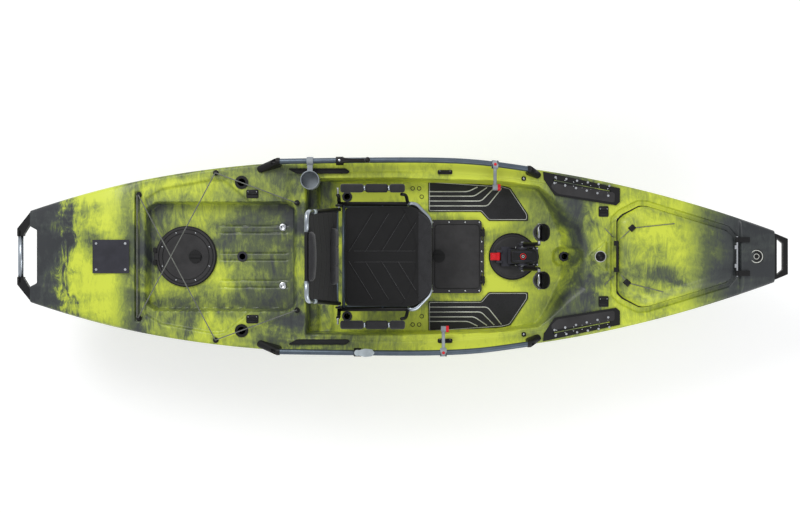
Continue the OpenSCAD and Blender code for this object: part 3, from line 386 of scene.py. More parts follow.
def join(name, pieces):
    """Several pieces on one body made one object, keeping each one's material."""
    bpy.ops.object.select_all(action="DESELECT")
    for made in pieces:
        bpy.context.view_layer.objects.active = made
        for changed in list(made.modifiers):
            bpy.ops.object.modifier_apply(modifier=changed.name)
    for made in pieces:
        made.select_set(True)
    bpy.context.view_layer.objects.active = pieces[0]
    bpy.ops.object.join()
    pieces[0].name = name
    pieces[0].data.name = name
    return pieces[0]

# ---------------------------------------------------------------- hull and deck
HULL_HIGH = corners("hull_shell")[1]
HALF_LEN = HULL_HIGH[0]
BEAM = 2 * HULL_HIGH[1]
SHEER = HULL_HIGH[2] + 7.3
COCKPIT = corners("deck_pads")[0][2] - 0.3
CARGO = corners("rear_hatch_ring")[0][2] - 0.3
STERN_RATIO, BOW_RATIO = 0.473, 0.265
STERN_ROCKER, BOW_ROCKER, STEM = 206.0, 37.0, 125.0
CROWN_PEAK = -HALF_LEN + 3 * 2 * HALF_LEN / 26
CROWN_END = -HALF_LEN + 4 * 2 * HALF_LEN / 26
NOSE = 1816.0
GROOVE_X, SLIT_X = -1417, -1425  # the transverse groove aft, and the slit in it
HOOK_X, HOOK_Y = -1002, 450      # bungee hooks beside the cargo well


def smooth(t):
    c = np.clip(t, 0, 1)
    return c * c * (3 - 2 * c)


def plan(x):
    u = np.abs(x) / HALF_LEN
    return BEAM / 2 * np.where(x < 0, 1 - (1 - STERN_RATIO) * u ** 2.5, 1 - (1 - BOW_RATIO) * u ** 1.93)


def sheer(x):
    return SHEER - 26 * smooth((-x / HALF_LEN - 0.72) / 0.26)


def keel(x):
    u = x / HALF_LEN
    stem = np.clip((x - HALF_LEN + STEM) / STEM, 0, 1)
    aft = STERN_ROCKER * np.clip((-u - 0.1) / 0.9, 0, 1) ** 2.35
    fore = BOW_ROCKER * smooth((u - 0.03) / 0.3)
    return np.where(u < -0.1, aft, fore) + (SHEER - BOW_ROCKER - 34) * stem ** 1.7


def fullness(x):
    return 3.6 - 0.5 * smooth(-x / HALF_LEN) - 1.75 * smooth((x / HALF_LEN - 0.2) / 0.75)


def inside(x, y, outline):
    """Signed distance to a closed outline, positive inside it."""
    best = np.full(x.shape, 1e9)
    held = np.zeros(x.shape, bool)
    for (ax, ay), (bx, by) in zip(outline, outline[1:] + outline[:1]):
        ex, ey = bx - ax, by - ay
        t = np.clip(((x - ax) * ex + (y - ay) * ey) / (ex * ex + ey * ey), 0, 1)
        best = np.minimum(best, np.hypot(x - ax - t * ex, y - ay - t * ey))
        crosses = (ay > y) != (by > y)
        if ey:
            held ^= crosses & (x < ax + (y - ay) / ey * ex)
    return np.where(held, best, -best)


def mirrored(points):
    return [tuple(p) for p in points] + [(x, -y) for x, y in reversed(points)]


BOW_OUTLINE = mirrored([(1148, 205), (1182, 238), (1277, 286), (1325, 284), (1758, 151), (1795, 108)])
BOW_MOUTH = mirrored([(1180, 182), (1200, 206), (1285, 252), (1318, 250), (1735, 126), (1765, 90)])
CARGO_SHELF = mirrored([(-1392, 316), (-1300, 372), (-1010, 424), (-955, 418), (-812, 300), (-585, 296),
        (-562, 240)])
CARGO_WELL = mirrored([(-1385, 262), (-1330, 298), (-620, 298), (-578, 262)])
COCKPIT_WELL = mirrored([(-520, 424), (0, 426), (520, 412), (740, 382), (830, 320), (1010, 184)])
BUCKET_LOW, BUCKET_HIGH = corners("rear_bucket")
REAR_HATCH_X = BUCKET_LOW[0] / 2 + BUCKET_HIGH[0] / 2
REAR_NECK = (BUCKET_HIGH[0] - BUCKET_LOW[0]) / 2
CENTRE_LOW, CENTRE_HIGH = corners("centre_bucket")
ROD_LOW, ROD_HIGH = corners("rod_holders")
ROD = ((ROD_LOW[0] + ROD_HIGH[0]) / 2, ROD_HIGH[1] - 36)
SCUPPERS = [(-872, 0), (-300, 330), (-300, -330), (900, 0)]


def crown(x):
    rear = 36 * smooth((x + HALF_LEN + 60) / 480) * (1 - 0.66 * smooth((x - CROWN_PEAK) / 155))
    nose = 24 * (1 - 0.8 * smooth((x - NOSE) / 190)) * smooth((x - NOSE) / 18)
    return rear * (1 - smooth((x - CROWN_END + 14) / 12)) + nose


def ridge(d, width):
    """1 on a line, falling smoothly to 0 at the given distance from it."""
    return 1 - smooth(np.abs(d) / width)


def deck_height(x, y):
    """Height of the moulded deck over the plan."""
    b = plan(x)
    share = np.clip(np.abs(y) / b, 0, 1)
    z = sheer(x) + crown(x) * np.sqrt(np.clip(1 - share ** 2.6, 0, 1))
    edge = b - np.abs(y)
    z -= 9 * (1 - smooth(edge / 16)) ** 2
    # low ledge inside the gunwale beside the cockpit
    ledge = smooth((x + 640) / 60) * (1 - smooth((x - 760) / 60))
    z -= 10 * ledge * smooth((edge - 62) / 10)
    # cargo deck: a shallow shelf, then the well with its ribs
    z -= 16 * smooth(inside(x, y, CARGO_SHELF) / 16)
    well = inside(x, y, CARGO_WELL)
    floor = CARGO - 0.8
    for rib in (-150, 0, 150):
        lane = smooth((x + 1010) / 40) * (1 - smooth((x + 640) / 30))
        floor = floor - 7 * ridge(np.abs(y - rib) - 19, 7) * lane
    z = z + (floor - z) * smooth(well / 15)
    # cockpit, with a long ramp at its front
    well = inside(x, y, COCKPIT_WELL)
    wall = 16 + 150 * smooth((x - 740) / 180)
    floor = COCKPIT - 0.8 - 5 * ridge(x - 8, 5) * smooth((np.abs(y) - 290) / 20)
    floor = floor + 14 * smooth((np.abs(y) - 250) / 16) * smooth((x + 470) / 30) * (1
            - smooth((x + 395) / 30))
    z = z + (floor - z) * smooth(well / wall)
    # recess ahead of the drive and the raised block that carries the mast plug
    nook = mirrored([(830, 30), (860, 58), (950, 58), (985, 30)])
    z = z - 26 * smooth(inside(x, y, nook) / 22)
    block = mirrored([(1010, 12), (1090, 84), (1112, 84)])
    z = z + 15 * smooth(inside(x, y, block) / 14)
    # groove round the bow lid, the transverse groove aft and the handle notch in the stern
    moat = inside(x, y, BOW_OUTLINE)
    z = z - 9 * smooth((moat + 20) / 8) * (1 - smooth((moat - 6) / 6))
    groove = 1 - smooth((np.abs(x - GROOVE_X) - 17) / 5)
    z = z + (SHEER - 1 - z) * groove * (1 - smooth((np.abs(y) - 346) / 8))
    slit = (1 - smooth((np.abs(x - SLIT_X) - 9) / 3)) * (1 - smooth((np.abs(y) - 316) / 8))
    z = z - 26 * slit
    # hatch mouths and sockets go down round the buckets and tubes
    for d, low in ((REAR_NECK + 2 - np.hypot(x - REAR_HATCH_X, y), BUCKET_LOW[2] - 4),
            (inside(x, y, BOW_MOUTH), corners("bow_liner")[0][2] - 4),
            (np.minimum(CENTRE_HIGH[0] + 2 - x, np.minimum(x - CENTRE_LOW[0] + 2,
            CENTRE_HIGH[1] + 2 - np.abs(y))), CENTRE_LOW[2] - 4),
            (28.5 - np.hypot(x - ROD[0], np.abs(y) - ROD[1]), ROD_LOW[2] - 4)):
        z = np.where(d > 0, low, z)
    for sx, sy in SCUPPERS:
        z = np.where(np.hypot(x - sx, y - sy) < 23, keel(np.array(float(sx))) + 34, z)
    return z


def deck_at(x, y):
    return float(deck_height(np.array(float(x)), np.array(float(y))))


def side_height(x, t):
    """A point of the outside below the gunwale: t is 0 at the gunwale and 1 at the keel."""
    p = 2 / fullness(x)
    b, low, high = plan(x), keel(x), sheer(x) - 9
    a = (1 - t) * math.pi / 2
    y = b * np.sin(a) ** p
    z = high - (high - low) * np.cos(a) ** p
    # a hollow above the chine, forward
    forward = smooth((x - 350) / 500) * (1 - smooth((x - 1650) / 250))
    y = y - 20 * forward * ridge(z - (low + 62), 44)
    return y, z


def stern_notch(x, y):
    """How far the stern is drawn in ahead of its tube handle."""
    return 38 * (1 - smooth((np.abs(y) - 140) / 28)) * (1 - smooth((x + HALF_LEN) / 300))


def hull_skin():
    """The moulded boat as one closed skin: deck on top, sides and bottom below the gunwale."""
    along = np.concatenate([np.linspace(-HALF_LEN, HALF_LEN - STEM, 700),
            np.linspace(HALF_LEN - STEM, HALF_LEN - 0.2, 42)[1:]])
    across = np.concatenate([np.linspace(-1, -0.94, 9), np.linspace(-0.94, 0.94, 201)[1:-1],
            np.linspace(0.94, 1, 9)])
    down = np.linspace(0, 1, 26)[1:]
    x, v = np.meshgrid(along, across, indexing="ij")
    y = v * plan(x)
    top = np.stack([x + stern_notch(x, y), y, deck_height(x, y)], -1)
    rings = []
    for i, station in enumerate(along):
        sy, sz = side_height(np.full(down.shape, station), down)
        left = np.stack([station + stern_notch(station, sy), sy, sz], -1)
        right = left[:-1][::-1] * (1, -1, 1)
        rings.append(np.concatenate([top[i], left, right]))
    rings = np.array(rings)
    n_x, n_r = rings.shape[:2]
    index = np.arange(n_x * n_r).reshape(n_x, n_r)
    ahead = index[1:]
    here = index[:-1]
    quads = np.stack([here, ahead, np.roll(ahead, -1, 1), np.roll(here, -1, 1)], -1).reshape(-1, 4)
    faces = quads.tolist() + [index[0].tolist(), index[-1][::-1].tolist()]
    made = piece("hull_skin", rings.reshape(-1, 3), faces, CAMO)
    made.data.set_sharp_from_angle(angle=SHARP)
    bm = bmesh.new()
    bm.from_mesh(made.data)
    bmesh.ops.recalc_face_normals(bm, faces=bm.faces)
    bmesh.ops.triangulate(bm, faces=[f for f in bm.faces if len(f.verts) > 4])
    bm.to_mesh(made.data)
    bm.free()
    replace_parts(made, "hull_shell", "deck", "deck_wells")
    return sit(made)


# ---------------------------------------------------------------- CAD nodes that keep their shape
FINISH = {BLACK: ["rail_boots", "bow_hatch_hinges", "bow_liner", "rear_bucket", "centre_bucket",
        "bungee_hooks", "rod_holders", "steering_bracket", "track_plates", "rear_hatch_ring",
        "centre_hatch_frame", "bow_hatch_handle", "stern_handle_elbows", "rear_hatch_latch",
        "centre_hatch_latch", "bow_handle"], LIDS: ["centre_hatch_lid", "rear_hatch_lid", "drive_turret"],
        DARK: ["stern_plate", "scupper_tubes", "drive_trunk", "rudder_stock", "skeg_trunk", "drive_spine",
        "drive_column"], FIN: ["rudder_blade", "skeg_blade"], RUBBER: ["bow_hatch_seal"],
        STEEL: ["deck_fasteners", "bow_hatch_pin", "crank_axle", "skeg_pin"], SILVER: ["stern_handle"],
        GREY: ["cup_holder", "clamp_arms"], PALE: ["rudder_paddle"],
        RED: ["drive_lever", "clamp_knob_port", "clamp_knob_starboard"], }
SHARP_SMALL = {"deck_fasteners", "bungee_hooks", "crank_axle", "skeg_pin"}


def finish_cad():
    for material, names in FINISH.items():
        for name in names:
            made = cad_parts[name]
            for made_slot in made.material_slots:
                made_slot.material = material
            if not made.material_slots:
                made.data.materials.append(material)
            soften(made, 0.5 if name in SHARP_SMALL else 1.4)


hull_skin()
finish_cad()

# ---------------------------------------------------------------- shaped pieces


def dome(name, outline, low, top, edge, material, body="hull", skirt=0.0, both=False, place=None,
        n=(56, 36)):
    """A shouldered plate or cushion over an outline in plan: top is a height or a function of x and y,
    edge the width of its rounded shoulder. place moves it from its own plane."""
    flat = [tuple(map(float, q[:2])) for q in outline]
    first, last = min(q[0] for q in flat) + 0.01, max(q[0] for q in flat) - 0.01
    xs = first + (last - first) * (0.5 - 0.5 * np.cos(np.pi * np.linspace(0, 1, n[0])))
    lo, hi = np.full(n[0], 1e9), np.full(n[0], -1e9)
    for (ax, ay), (bx, by) in zip(flat, flat[1:] + flat[:1]):
        if ax == bx:
            continue
        t = (xs - ax) / (bx - ax)
        y = ay + t * (by - ay)
        on = (t >= 0) & (t <= 1)
        lo, hi = np.where(on, np.minimum(lo, y), lo), np.where(on, np.maximum(hi, y), hi)
    v = 0.5 - 0.5 * np.cos(np.pi * np.linspace(0, 1, n[1]))
    x = np.repeat(xs[:, None], n[1], 1)
    y = lo[:, None] + (hi - lo)[:, None] * v
    d = np.maximum(inside(x, y, flat), 0)
    peak = top(x, y) if callable(top) else np.full(x.shape, float(top))
    z = low + skirt + (peak - low - skirt) * np.sqrt(1 - (1 - np.clip(d / edge, 0, 1)) ** 2)
    under = 2 * low - z if both else np.full(x.shape, float(low))
    points = np.concatenate([np.stack([x, y, z], -1).reshape(-1, 3),
            np.stack([x, y, under], -1).reshape(-1, 3)])
    index = np.arange(x.size).reshape(x.shape)
    a, b, c, e = index[:-1, :-1].ravel(), index[1:, :-1].ravel(), index[1:, 1:].ravel(), index[:-1,
            1:].ravel()
    faces = np.stack([a, b, c, e], -1).tolist() + (np.stack([e, c, b, a], -1) + x.size).tolist()
    rim = np.concatenate([index[:, 0], index[-1, 1:], index[-2::-1, -1], index[0, -2:0:-1]])
    for p, q in zip(rim, np.roll(rim, -1)):
        faces.append((int(q), int(p), int(p) + x.size, int(q) + x.size))
    made = piece(name, place(points) if place else points, faces, material, body)
    with edited(made) as bm:
        bmesh.ops.remove_doubles(bm, verts=bm.verts, dist=WELD)
        bmesh.ops.dissolve_degenerate(bm, edges=bm.edges, dist=WELD / 2)
    made.data.set_sharp_from_angle(angle=SHARP)
    return made


def smooth_outline(points, radius, steps=6):
    return [tuple(q[:2]) for q in rounded([(x, y, 0) for x, y in points], radius, steps, closed=True)]


def oblong(x0, y0, x1, y1):
    return [(x0, y0), (x1, y0), (x1, y1), (x0, y1)]


def oval(x, y, rx, ry, count=40):
    return [(x + rx * math.cos(2 * math.pi * k / count), y + ry * math.sin(2 * math.pi * k / count))
            for k in range(count)]


def on_height(line, height, lift=0.0):
    """A flat line laid on a height function."""
    p = np.array(line, float)
    z = height(p[:, 0], p[:, 1]) if callable(height) else np.full(len(p), float(height))
    return np.stack([p[:, 0], p[:, 1], z + lift], -1)


def dense(points, step=8.0):
    """A line with points added along its straight runs."""
    p = [np.array(q, float) for q in points]
    line = [p[0]]
    for a, b in zip(p, p[1:]):
        count = max(1, int(np.linalg.norm(b - a) / step))
        line += [a + (b - a) * k / count for k in range(1, count + 1)]
    return np.array(line)


def ring(name, centre, radius, thick, material, body="hull", axis="Z", sides=8):
    profile = [(radius + thick * math.cos(a), thick * math.sin(a)) for a in np.linspace(0, 2 * math.pi,
            sides + 1)]
    made = lathe(name, profile, centre, material, body, sides=48, axis=axis)
    with edited(made) as bm:
        bmesh.ops.delete(bm, geom=[f for f in bm.faces if len(f.verts) > 4], context="FACES_ONLY")
        bmesh.ops.remove_doubles(bm, verts=bm.verts, dist=WELD)
    return made


def button(name, x, y, z, radius, material, body="hull", rise=3.0):
    """A domed rivet or screw head standing on a surface."""
    return lathe(name, [(radius, -2), (radius, 0.2 * rise), (0.86 * radius, 0.7 * rise),
            (0.5 * radius, rise), (0.01, 1.08 * rise)], (x, y, z), material, body, sides=18)


# ---------------------------------------------------------------- bow hatch
LID_LOW, LID_HIGH = corners("bow_hatch_lid")
LID_PANEL = mirrored([(1206, 176), (1290, 226), (1340, 222), (1700, 108), (1742, 70)])
LID_RING_X = 1338  # the round groove pressed into the lid
DISC_X, MAST_X = 1912, 1072
CORD_R = 2.2


def lid_top(x, y):
    z = LID_HIGH[2] - 8 * smooth((x - 1300) / 300) - 30 * smooth((x - 1600) / 180)
    panel = inside(x, y, LID_PANEL)
    z = z - 4 * (1 - smooth((panel - 4) / 16))
    from_ring = np.hypot(x - LID_RING_X, y)
    z = z - 3 * ridge(from_ring - 68, 4) - 3 * ridge(from_ring - 57, 3)
    return z - 10 * (y / 290) ** 2


def bow_lid():
    outline = smooth_outline(mirrored([(LID_LOW[0], 192), (1190, 219), (1282, 270), (1326, 269),
            (1752, 138), (LID_HIGH[0], 98)]), 26)
    skin = dome("bow_lid_skin", outline, LID_LOW[2] + 0.4, lid_top, 52, CAMO, "bow_lid", skirt=6,
            n=(150, 110))
    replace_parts(sit(skin), "bow_hatch_lid")
    parts = []
    for s in (-1, 1):
        end = (1460, s * 176) if s > 0 else (1400, -190)
        block = (1232, s * 152) if s > 0 else (1206, -140)
        line = dense([(1172, s * 96), block, end], 9)
        parts.append(sweep("lid_cord", on_height(line, lid_top, CORD_R), CORD_R, CORD, "bow_lid", 8))
        turn = math.atan2(s * 56, 60)
        corner = [(block[0] + u * math.cos(turn) - v * math.sin(turn),
                block[1] + u * math.sin(turn) + v * math.cos(turn)) for u, v in oblong(-17, -15, 17, 15)]
        high = float(lid_top(np.array(block[0]), np.array(block[1])))
        parts.append(dome("lid_cord_block", smooth_outline(corner, 5), high - 5, high + 11, 6, BLACK,
                "bow_lid", skirt=8, n=(16, 14)))
        line = dense([(1098, s * 152), (1136, s * 112), (1148, s * 104)], 9)
        sweep("deck_cord", on_height(line, deck_height, 2.5), CORD_R, CORD, "hull", 8)
    made = join("lid_cords", parts)
    sit(made)
    # generic disc on the bow deck
    high = deck_at(DISC_X, 0)
    disc = lathe("bow_disc", [(39, -6), (39, 1.2), (37, 2.2), (0.01, 2.2)], (DISC_X, 0, high - 0.6), BLACK)
    rim = ring("bow_disc_ring", (DISC_X, 0, high + 1.6), 33, 2.4, LINE)
    core = ring("bow_disc_core", (DISC_X, 0, high + 1.6), 14, 1.8, LINE)
    join("bow_disc", [disc, rim, core])
    # cap in the block ahead of the recess
    high = deck_at(MAST_X, 0)
    cap = lathe("mast_cap", [(27, -8), (27, 1), (24, 4), (21, 4), (20, 2.5), (17, 2.5), (16, 7), (0.01, 8)],
            (MAST_X, 0, high), BLACK)
    rim = ring("mast_cap_ring", (MAST_X, 0, high + 1), 29, 2.2, LINE)
    join("mast_cap", [cap, rim])


# ---------------------------------------------------------------- rails, plates and handles
RAIL_Z = corners("rails")[1][2] - 15


def rails():
    z = RAIL_Z
    parts = []
    for s in (-1, 1):
        line = curve_through([(-667, 508, z), (-250, 514, z), (150, 515, z), (420, 502, z), (690, 466, z)],
                12) * (1, s, 1)
        parts.append(sweep("rail_tube", line, 14.8, SLATE, "hull", 22))
    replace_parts(sit(join("rail_tubes", parts)), "rails")


def track_details():
    high = corners("track_plates")[1][2]
    parts = []
    for s in (-1, 1):
        parts.append(sweep("slot_line", on_height(dense([(824, 411), (1122, 353)], 20) * (1, s), high, 0.2),
                2.4, CAMO, "hull", 8))
        for k in range(7):
            t = k / 6
            for off in (-11, 11):
                x, y = 836 + 276 * t, 408 - 54 * t + off
                parts.append(button("track_rivet", x, s * y, high, 2.8, STEEL, rise=1.6))
        parts.append(dome("track_grip", smooth_outline([(x, s * y) for x,
                y in ((840, 338), (1150, 290), (1150, 345), (1040, 364), (812, 396), (806, 372))], 14),
                high - 1, high + 1.6, 3, LIDS, skirt=1, n=(40, 20)))
    join("track_details", parts)


def stern_details():
    low, high = corners("stern_handle")
    z = (low[2] + high[2]) / 2
    x = (low[0] + high[0]) / 2
    tube = sweep("stern_grip", [(x, -high[1] + 1, z), (x, high[1] - 1, z)], 14.7, SILVER, "hull", 24)
    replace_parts(sit(tube), "stern_handle")


# ---------------------------------------------------------------- cockpit fittings


def pads():
    low, high = corners("deck_pads")
    parts = []
    for s in (-1, 1):
        outline = [(x, s * y) for x, y in ((149, 417), (560, 391), (602, 379), (699, 233), (699, 197),
                (481, 197), (437, 247), (149, 247))]
        parts.append(dome("foot_pad", smooth_outline(outline, 5, 3), low[2], high[2], 3, EVA, skirt=3,
                n=(120, 50)))
        frame_line = rounded([(x, s * y, high[2] + 0.1) for x, y in ((155, 410), (556, 384), (596, 373),
                (690, 232), (690, 204), (484, 204), (442, 253), (155, 253))], 8, 3, closed=True)
        parts.append(sweep("pad_border", frame_line, 1.5, LINE, "hull", 6, closed=True))
        for run, turn, end_x in ((279, 475, 552), (306, 440, 512), (333, 402, 472), (358, 368, 420)):
            stop = 409 - 0.063 * (end_x - 149) - 8
            line = rounded([(152, s * run, high[2] + 0.3), (turn, s * run, high[2] + 0.3),
                    (end_x, s * stop, high[2] + 0.3)], 18, 5)
            parts.append(sweep("pad_stripe", line, 3.0, LINE, "hull", 6, flat=0.4))
    made = join("foot_pads", parts)
    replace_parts(sit(made), "deck_pads")


def hatch_details():
    low, high = corners("centre_hatch_lid")
    z = high[2]
    parts = []
    mid_x = (low[0] + high[0]) / 2
    hx, hy = (high[0] - low[0]) / 2 - 13, high[1] - 13
    spots = [(-1, -1), (-0.33, -1), (0.33, -1), (0.9, -1), (0.9, 1), (0.33, 1), (-0.33, 1), (-1, 1)]
    spots += [(1, v) for v in (-0.72, -0.43, -0.15, 0.15, 0.43, 0.72)]
    for u, v in spots:
        parts.append(button("hatch_rivet", mid_x + u * hx, v * hy, z, 4.4, STEEL, "centre_lid", 2.0))
    border = oblong(low[0] + 26, low[1] + 26, high[0] - 26, high[1] - 26)
    edge_line = rounded([(x, y, z) for x, y in border], 22, 6, closed=True)
    parts.append(sweep("hatch_bead", edge_line, 2.0, BLACK, "centre_lid", 8, closed=True))
    join("centre_lid_details", parts)
    low, high = corners("rear_hatch_lid")
    z, r = high[2], (high[1] - low[1]) / 2
    x = (low[0] + high[0]) / 2
    x = max(x, REAR_HATCH_X) if abs(x - REAR_HATCH_X) < 30 else REAR_HATCH_X
    parts = [ring("rear_lid_bead", (x, 0, z), r - 12, 2.6, BLACK, "rear_lid"),
            ring("rear_lid_step", (x, 0, z), r - 34, 2.0, BLACK, "rear_lid")]
    for k in range(8):
        a = 2 * math.pi * (k + 0.5) / 8
        parts.append(button("rear_lid_rivet", x + (r - 22) * math.cos(a), (r - 22) * math.sin(a), z, 3.6,
                STEEL, "rear_lid", 1.8))
    join("rear_lid_details", parts)


def bungees():
    low, high = corners("cargo_bungee")
    z = (low[2] + high[2]) / 2
    parts = []
    front_x, front_y, aft_y, apart = -564, 288, 331, 3.2
    lines = [([(HOOK_X, HOOK_Y), (GROOVE_X, -aft_y)], apart), ([(HOOK_X, -HOOK_Y), (GROOVE_X, aft_y)],
            -apart), ([(front_x, front_y), (HOOK_X, HOOK_Y)], -apart),
            ([(front_x, -front_y), (HOOK_X, -HOOK_Y)], -apart), ([(SLIT_X, aft_y), (SLIT_X, -aft_y)], -9.0)]
    for ends, lift in lines:
        line = dense([(*ends[0], z + lift), (*ends[1], z + lift)], 30)
        parts.append(sweep("bungee", line, 2.9, CORD, "hull", 10))
    made = join("bungee_cords", parts)
    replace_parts(sit(made), "cargo_bungee")


bow_lid()
rails()
track_details()
stern_details()
pads()
hatch_details()
bungees()

# ---------------------------------------------------------------- seat
PAN_LOW, PAN_HIGH = corners("seat_pan")
SEAT_Z = PAN_LOW[2] - 13.0
BACK_X, BACK_Z = -330.0, SEAT_Z + 35
LEAN = math.radians(14)
SEAT_Y = 278  # the seat's side tubes from the centreline


def on_back(p):
    """From the plane of the backrest (across, up, forward) to the boat."""
    p = np.array(p, float)
    a, b, c = p[..., 0], p[..., 1], p[..., 2]
    return np.stack([BACK_X + c * math.cos(LEAN) - b * math.sin(LEAN), a,
            BACK_Z + c * math.sin(LEAN) + b * math.cos(LEAN)], -1)


def pan_top(x, y):
    z = PAN_HIGH[2] + 7 - 9 * smooth(1 - (y / 200) ** 2) * smooth((x + 260) / 120) * (1
            - smooth((x - 20) / 110))
    z = z - 9 * smooth((x - 90) / 70)
    side = np.abs(y)
    for start in (-300, -214, -128, -42, 44, 130):
        z = z - 4.0 * ridge((x - start) - 0.62 * side, 6) * smooth((side - 16) / 8) * (1
                - smooth((side - 226) / 10))
    z = z - 2.4 * ridge(side - 22, 5) * smooth((x + 240) / 30)
    return z - 4.0 * ridge(x - 78 + 0.0012 * side ** 2, 6)


def seat():
    low = PAN_LOW[2] + 0.2
    outline = smooth_outline(mirrored([(-298, 262), (64, 264), (128, 224), (158, 184)]), 34)
    pan = dome("seat_pan_cloth", outline, low, pan_top, 22, WEAVE, skirt=3, n=(150, 110))
    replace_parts(sit(pan), "seat_pan")
    front = smooth_outline(mirrored([(84, 244), (128, 214), (160, 176)]), 16)
    lip = dome("seat_front_band", front, low + 6, lambda x, y: pan_top(x, y) + 2.2, 12, BAND, skirt=2,
            n=(40, 70))
    sit(lip)
    z, low_z = SEAT_Z, corners("seat_base")[0][2] + 12
    parts = []
    loop = rounded([(BACK_X, SEAT_Y, z), (76, SEAT_Y, z), (152, 196, z), (152, -196, z), (76, -SEAT_Y, z),
            (BACK_X, -SEAT_Y, z)], 74, 9)
    parts.append(sweep("seat_loop", loop, 11.8, BLACK, "hull", 18))
    for s in (-1, 1):
        corner = rounded([(30, s * SEAT_Y, z), (76, s * SEAT_Y, z), (152, s * 196, z), (152, s * 150, z)],
                74, 9)
        parts.append(sweep("seat_corner", corner, 12.6, SILVER, "hull", 18))
        leg = rounded([(BACK_X, s * SEAT_Y, z), (BACK_X, s * SEAT_Y, low_z), (50, s * SEAT_Y, low_z),
                (50, s * SEAT_Y, z)], 40, 7)
        parts.append(sweep("seat_runner", leg, 11, SLATE, "hull", 16))
        post = rounded([(BACK_X, s * SEAT_Y, z), (BACK_X, s * 318, z + 40), (BACK_X, s * 318, z + 128)], 30,
                6)
        parts.append(sweep("arm_post", post, 9.8, BLACK, "hull", 14))
        brace = rounded([(34, s * SEAT_Y, z), (24, s * 324, z + 46), (0, s * 324, z + 100)], 30, 6)
        parts.append(sweep("arm_brace", brace, 8.8, BLACK, "hull", 14))
        parts.append(lathe("arm_pin", [(5, -14), (5, 14), (8, 15), (8, 17.5), (0.01, 18)],
                (BACK_X, s * 338, z + 128), STEEL, "hull", 18, axis="Y"))
        ear = [(BACK_X - 18, z - 4), (BACK_X + 18, z - 4), (BACK_X + 18, z + 42), (BACK_X + 8, z + 52),
                (BACK_X - 8, z + 52), (BACK_X - 18, z + 42)]

        def upright(p, s=s):
            return np.stack([p[:, 0], s * 269 - p[:, 2], p[:, 1]], -1)

        parts.append(dome("back_ear", ear, 0, 5, 2.5, BLACK, skirt=1.5, both=True, n=(16, 16),
                place=upright))
    for x in (BACK_X + 24, -100):
        parts.append(sweep("seat_bar", [(x, -SEAT_Y, z), (x, SEAT_Y, z)], 8.8, SLATE, "hull", 14))
    made = join("seat_tubes", parts)
    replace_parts(sit(made), "seat_base")


def backrest():
    length = 525.0
    parts = []
    hoop = on_back(rounded([(-248, -8, 0), (-231, 250, 0), (-214, length, 0), (214, length, 0),
            (231, 250, 0), (248, -8, 0)], 60, 8))
    parts.append(sweep("back_hoop", hoop, 10.8, BLACK, "backrest", 18))
    for s in (-1, 1):
        corner = on_back(rounded([(s * 218, length - 96, 0), (s * 214, length, 0), (s * 118, length, 0)],
                60, 8))
        parts.append(sweep("back_corner", corner, 11.9, SILVER, "backrest", 18))
        tip = on_back([(s * 220, length - 130, 0), (s * 218, length - 92, 0)])
        parts.append(sweep("back_sleeve", tip, 12.6, PALE, "backrest", 18))
        parts.append(lathe("back_pin", [(5, -17), (5, 17), (0.01, 18)], (BACK_X, s * 258, BACK_Z), STEEL,
                "backrest", 18, axis="Y"))
    parts.append(sweep("back_bar", on_back([(-247, 34, 0), (247, 34, 0)]), 8.8, SLATE, "backrest", 14))
    made = join("back_tubes", parts)
    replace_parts(sit(made), "back_frame")

    def sag(x, y):
        z = 10 - 5 * (1 - (y / 230) ** 2)
        for start in (60, 140, 220, 300, 380):
            z = z - 1.8 * ridge((x - start) - 0.4 * np.abs(y), 5) * smooth((np.abs(y) - 14) / 8)
        return z - 2.2 * ridge(np.abs(y) - 70, 5)

    def up_first(p):
        return on_back(np.stack([p[:, 1], p[:, 0], p[:, 2]], -1))

    cloth = dome("back_cloth", smooth_outline(mirrored([(54, 238), (length - 16, 206)]), 30), 0, sag, 12,
            WEAVE, "backrest", skirt=2, both=True, place=up_first, n=(110, 70))
    cushion = dome("lumbar_pad", smooth_outline(mirrored([(74, 146), (166, 146)]), 30), 6,
            lambda x, y: 29 - 4 * ridge(np.abs(y) - 50, 6), 26, BAND, "backrest", skirt=2, place=up_first,
            n=(40, 70))

    def head_top(x, y):
        return 40 - 16 * (np.abs(y) / 150) ** 2 - 1.6 * ridge(x - length + 36,
                4) - 1.6 * ridge(x - length + 4, 4)

    head = dome("head_pad", smooth_outline(mirrored([(length - 50, 112), (length - 20, 122),
            (length + 13, 112)]), 16), 14, head_top, 20, BAND, "backrest", skirt=3, place=up_first,
            n=(50, 80))
    sit(cushion)
    sit(head)
    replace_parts(sit(cloth), "back_mesh")


def armrests():
    z = SEAT_Z + 128
    for node, body in (("armrest_port", "arm_port"), ("armrest_starboard", "arm_starboard")):
        low, high = corners(node)
        mid = (low[1] + high[1]) / 2
        half = (high[1] - low[1]) / 2 - 0.6
        parts = []
        for k, (a, b) in enumerate(((-318, -196), (-188, -70), (-62, 18))):
            outline = smooth_outline(oblong(a, mid - half, b, mid + half), 15)
            parts.append(dome("arm_pad", outline, z + 1, z + (17.6 - k), 15, BAND if k != 1 else EVA, body,
                    skirt=2, both=True, n=(40, 26)))
        parts.append(sweep("arm_rod", [(-300, mid, z), (10, mid, z)], 7, BLACK, body, 12))
        for x in (-192, -66):
            parts.append(lathe("arm_collar", [(13, -4), (14, -3), (14, 3), (13, 4)], (x, mid, z), SILVER,
                    body, 24, axis="X"))
        made = join(node + "_pad", parts)
        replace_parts(sit(made), node)


# ---------------------------------------------------------------- pedal drive and fins
TURRET_LOW, TURRET_HIGH = corners("drive_turret")
AXLE_LOW, AXLE_HIGH = corners("crank_axle")
AXLE = ((AXLE_LOW[0] + AXLE_HIGH[0]) / 2, (AXLE_LOW[2] + AXLE_HIGH[2]) / 2)
DRIVE_X = TURRET_LOW[0] + 130


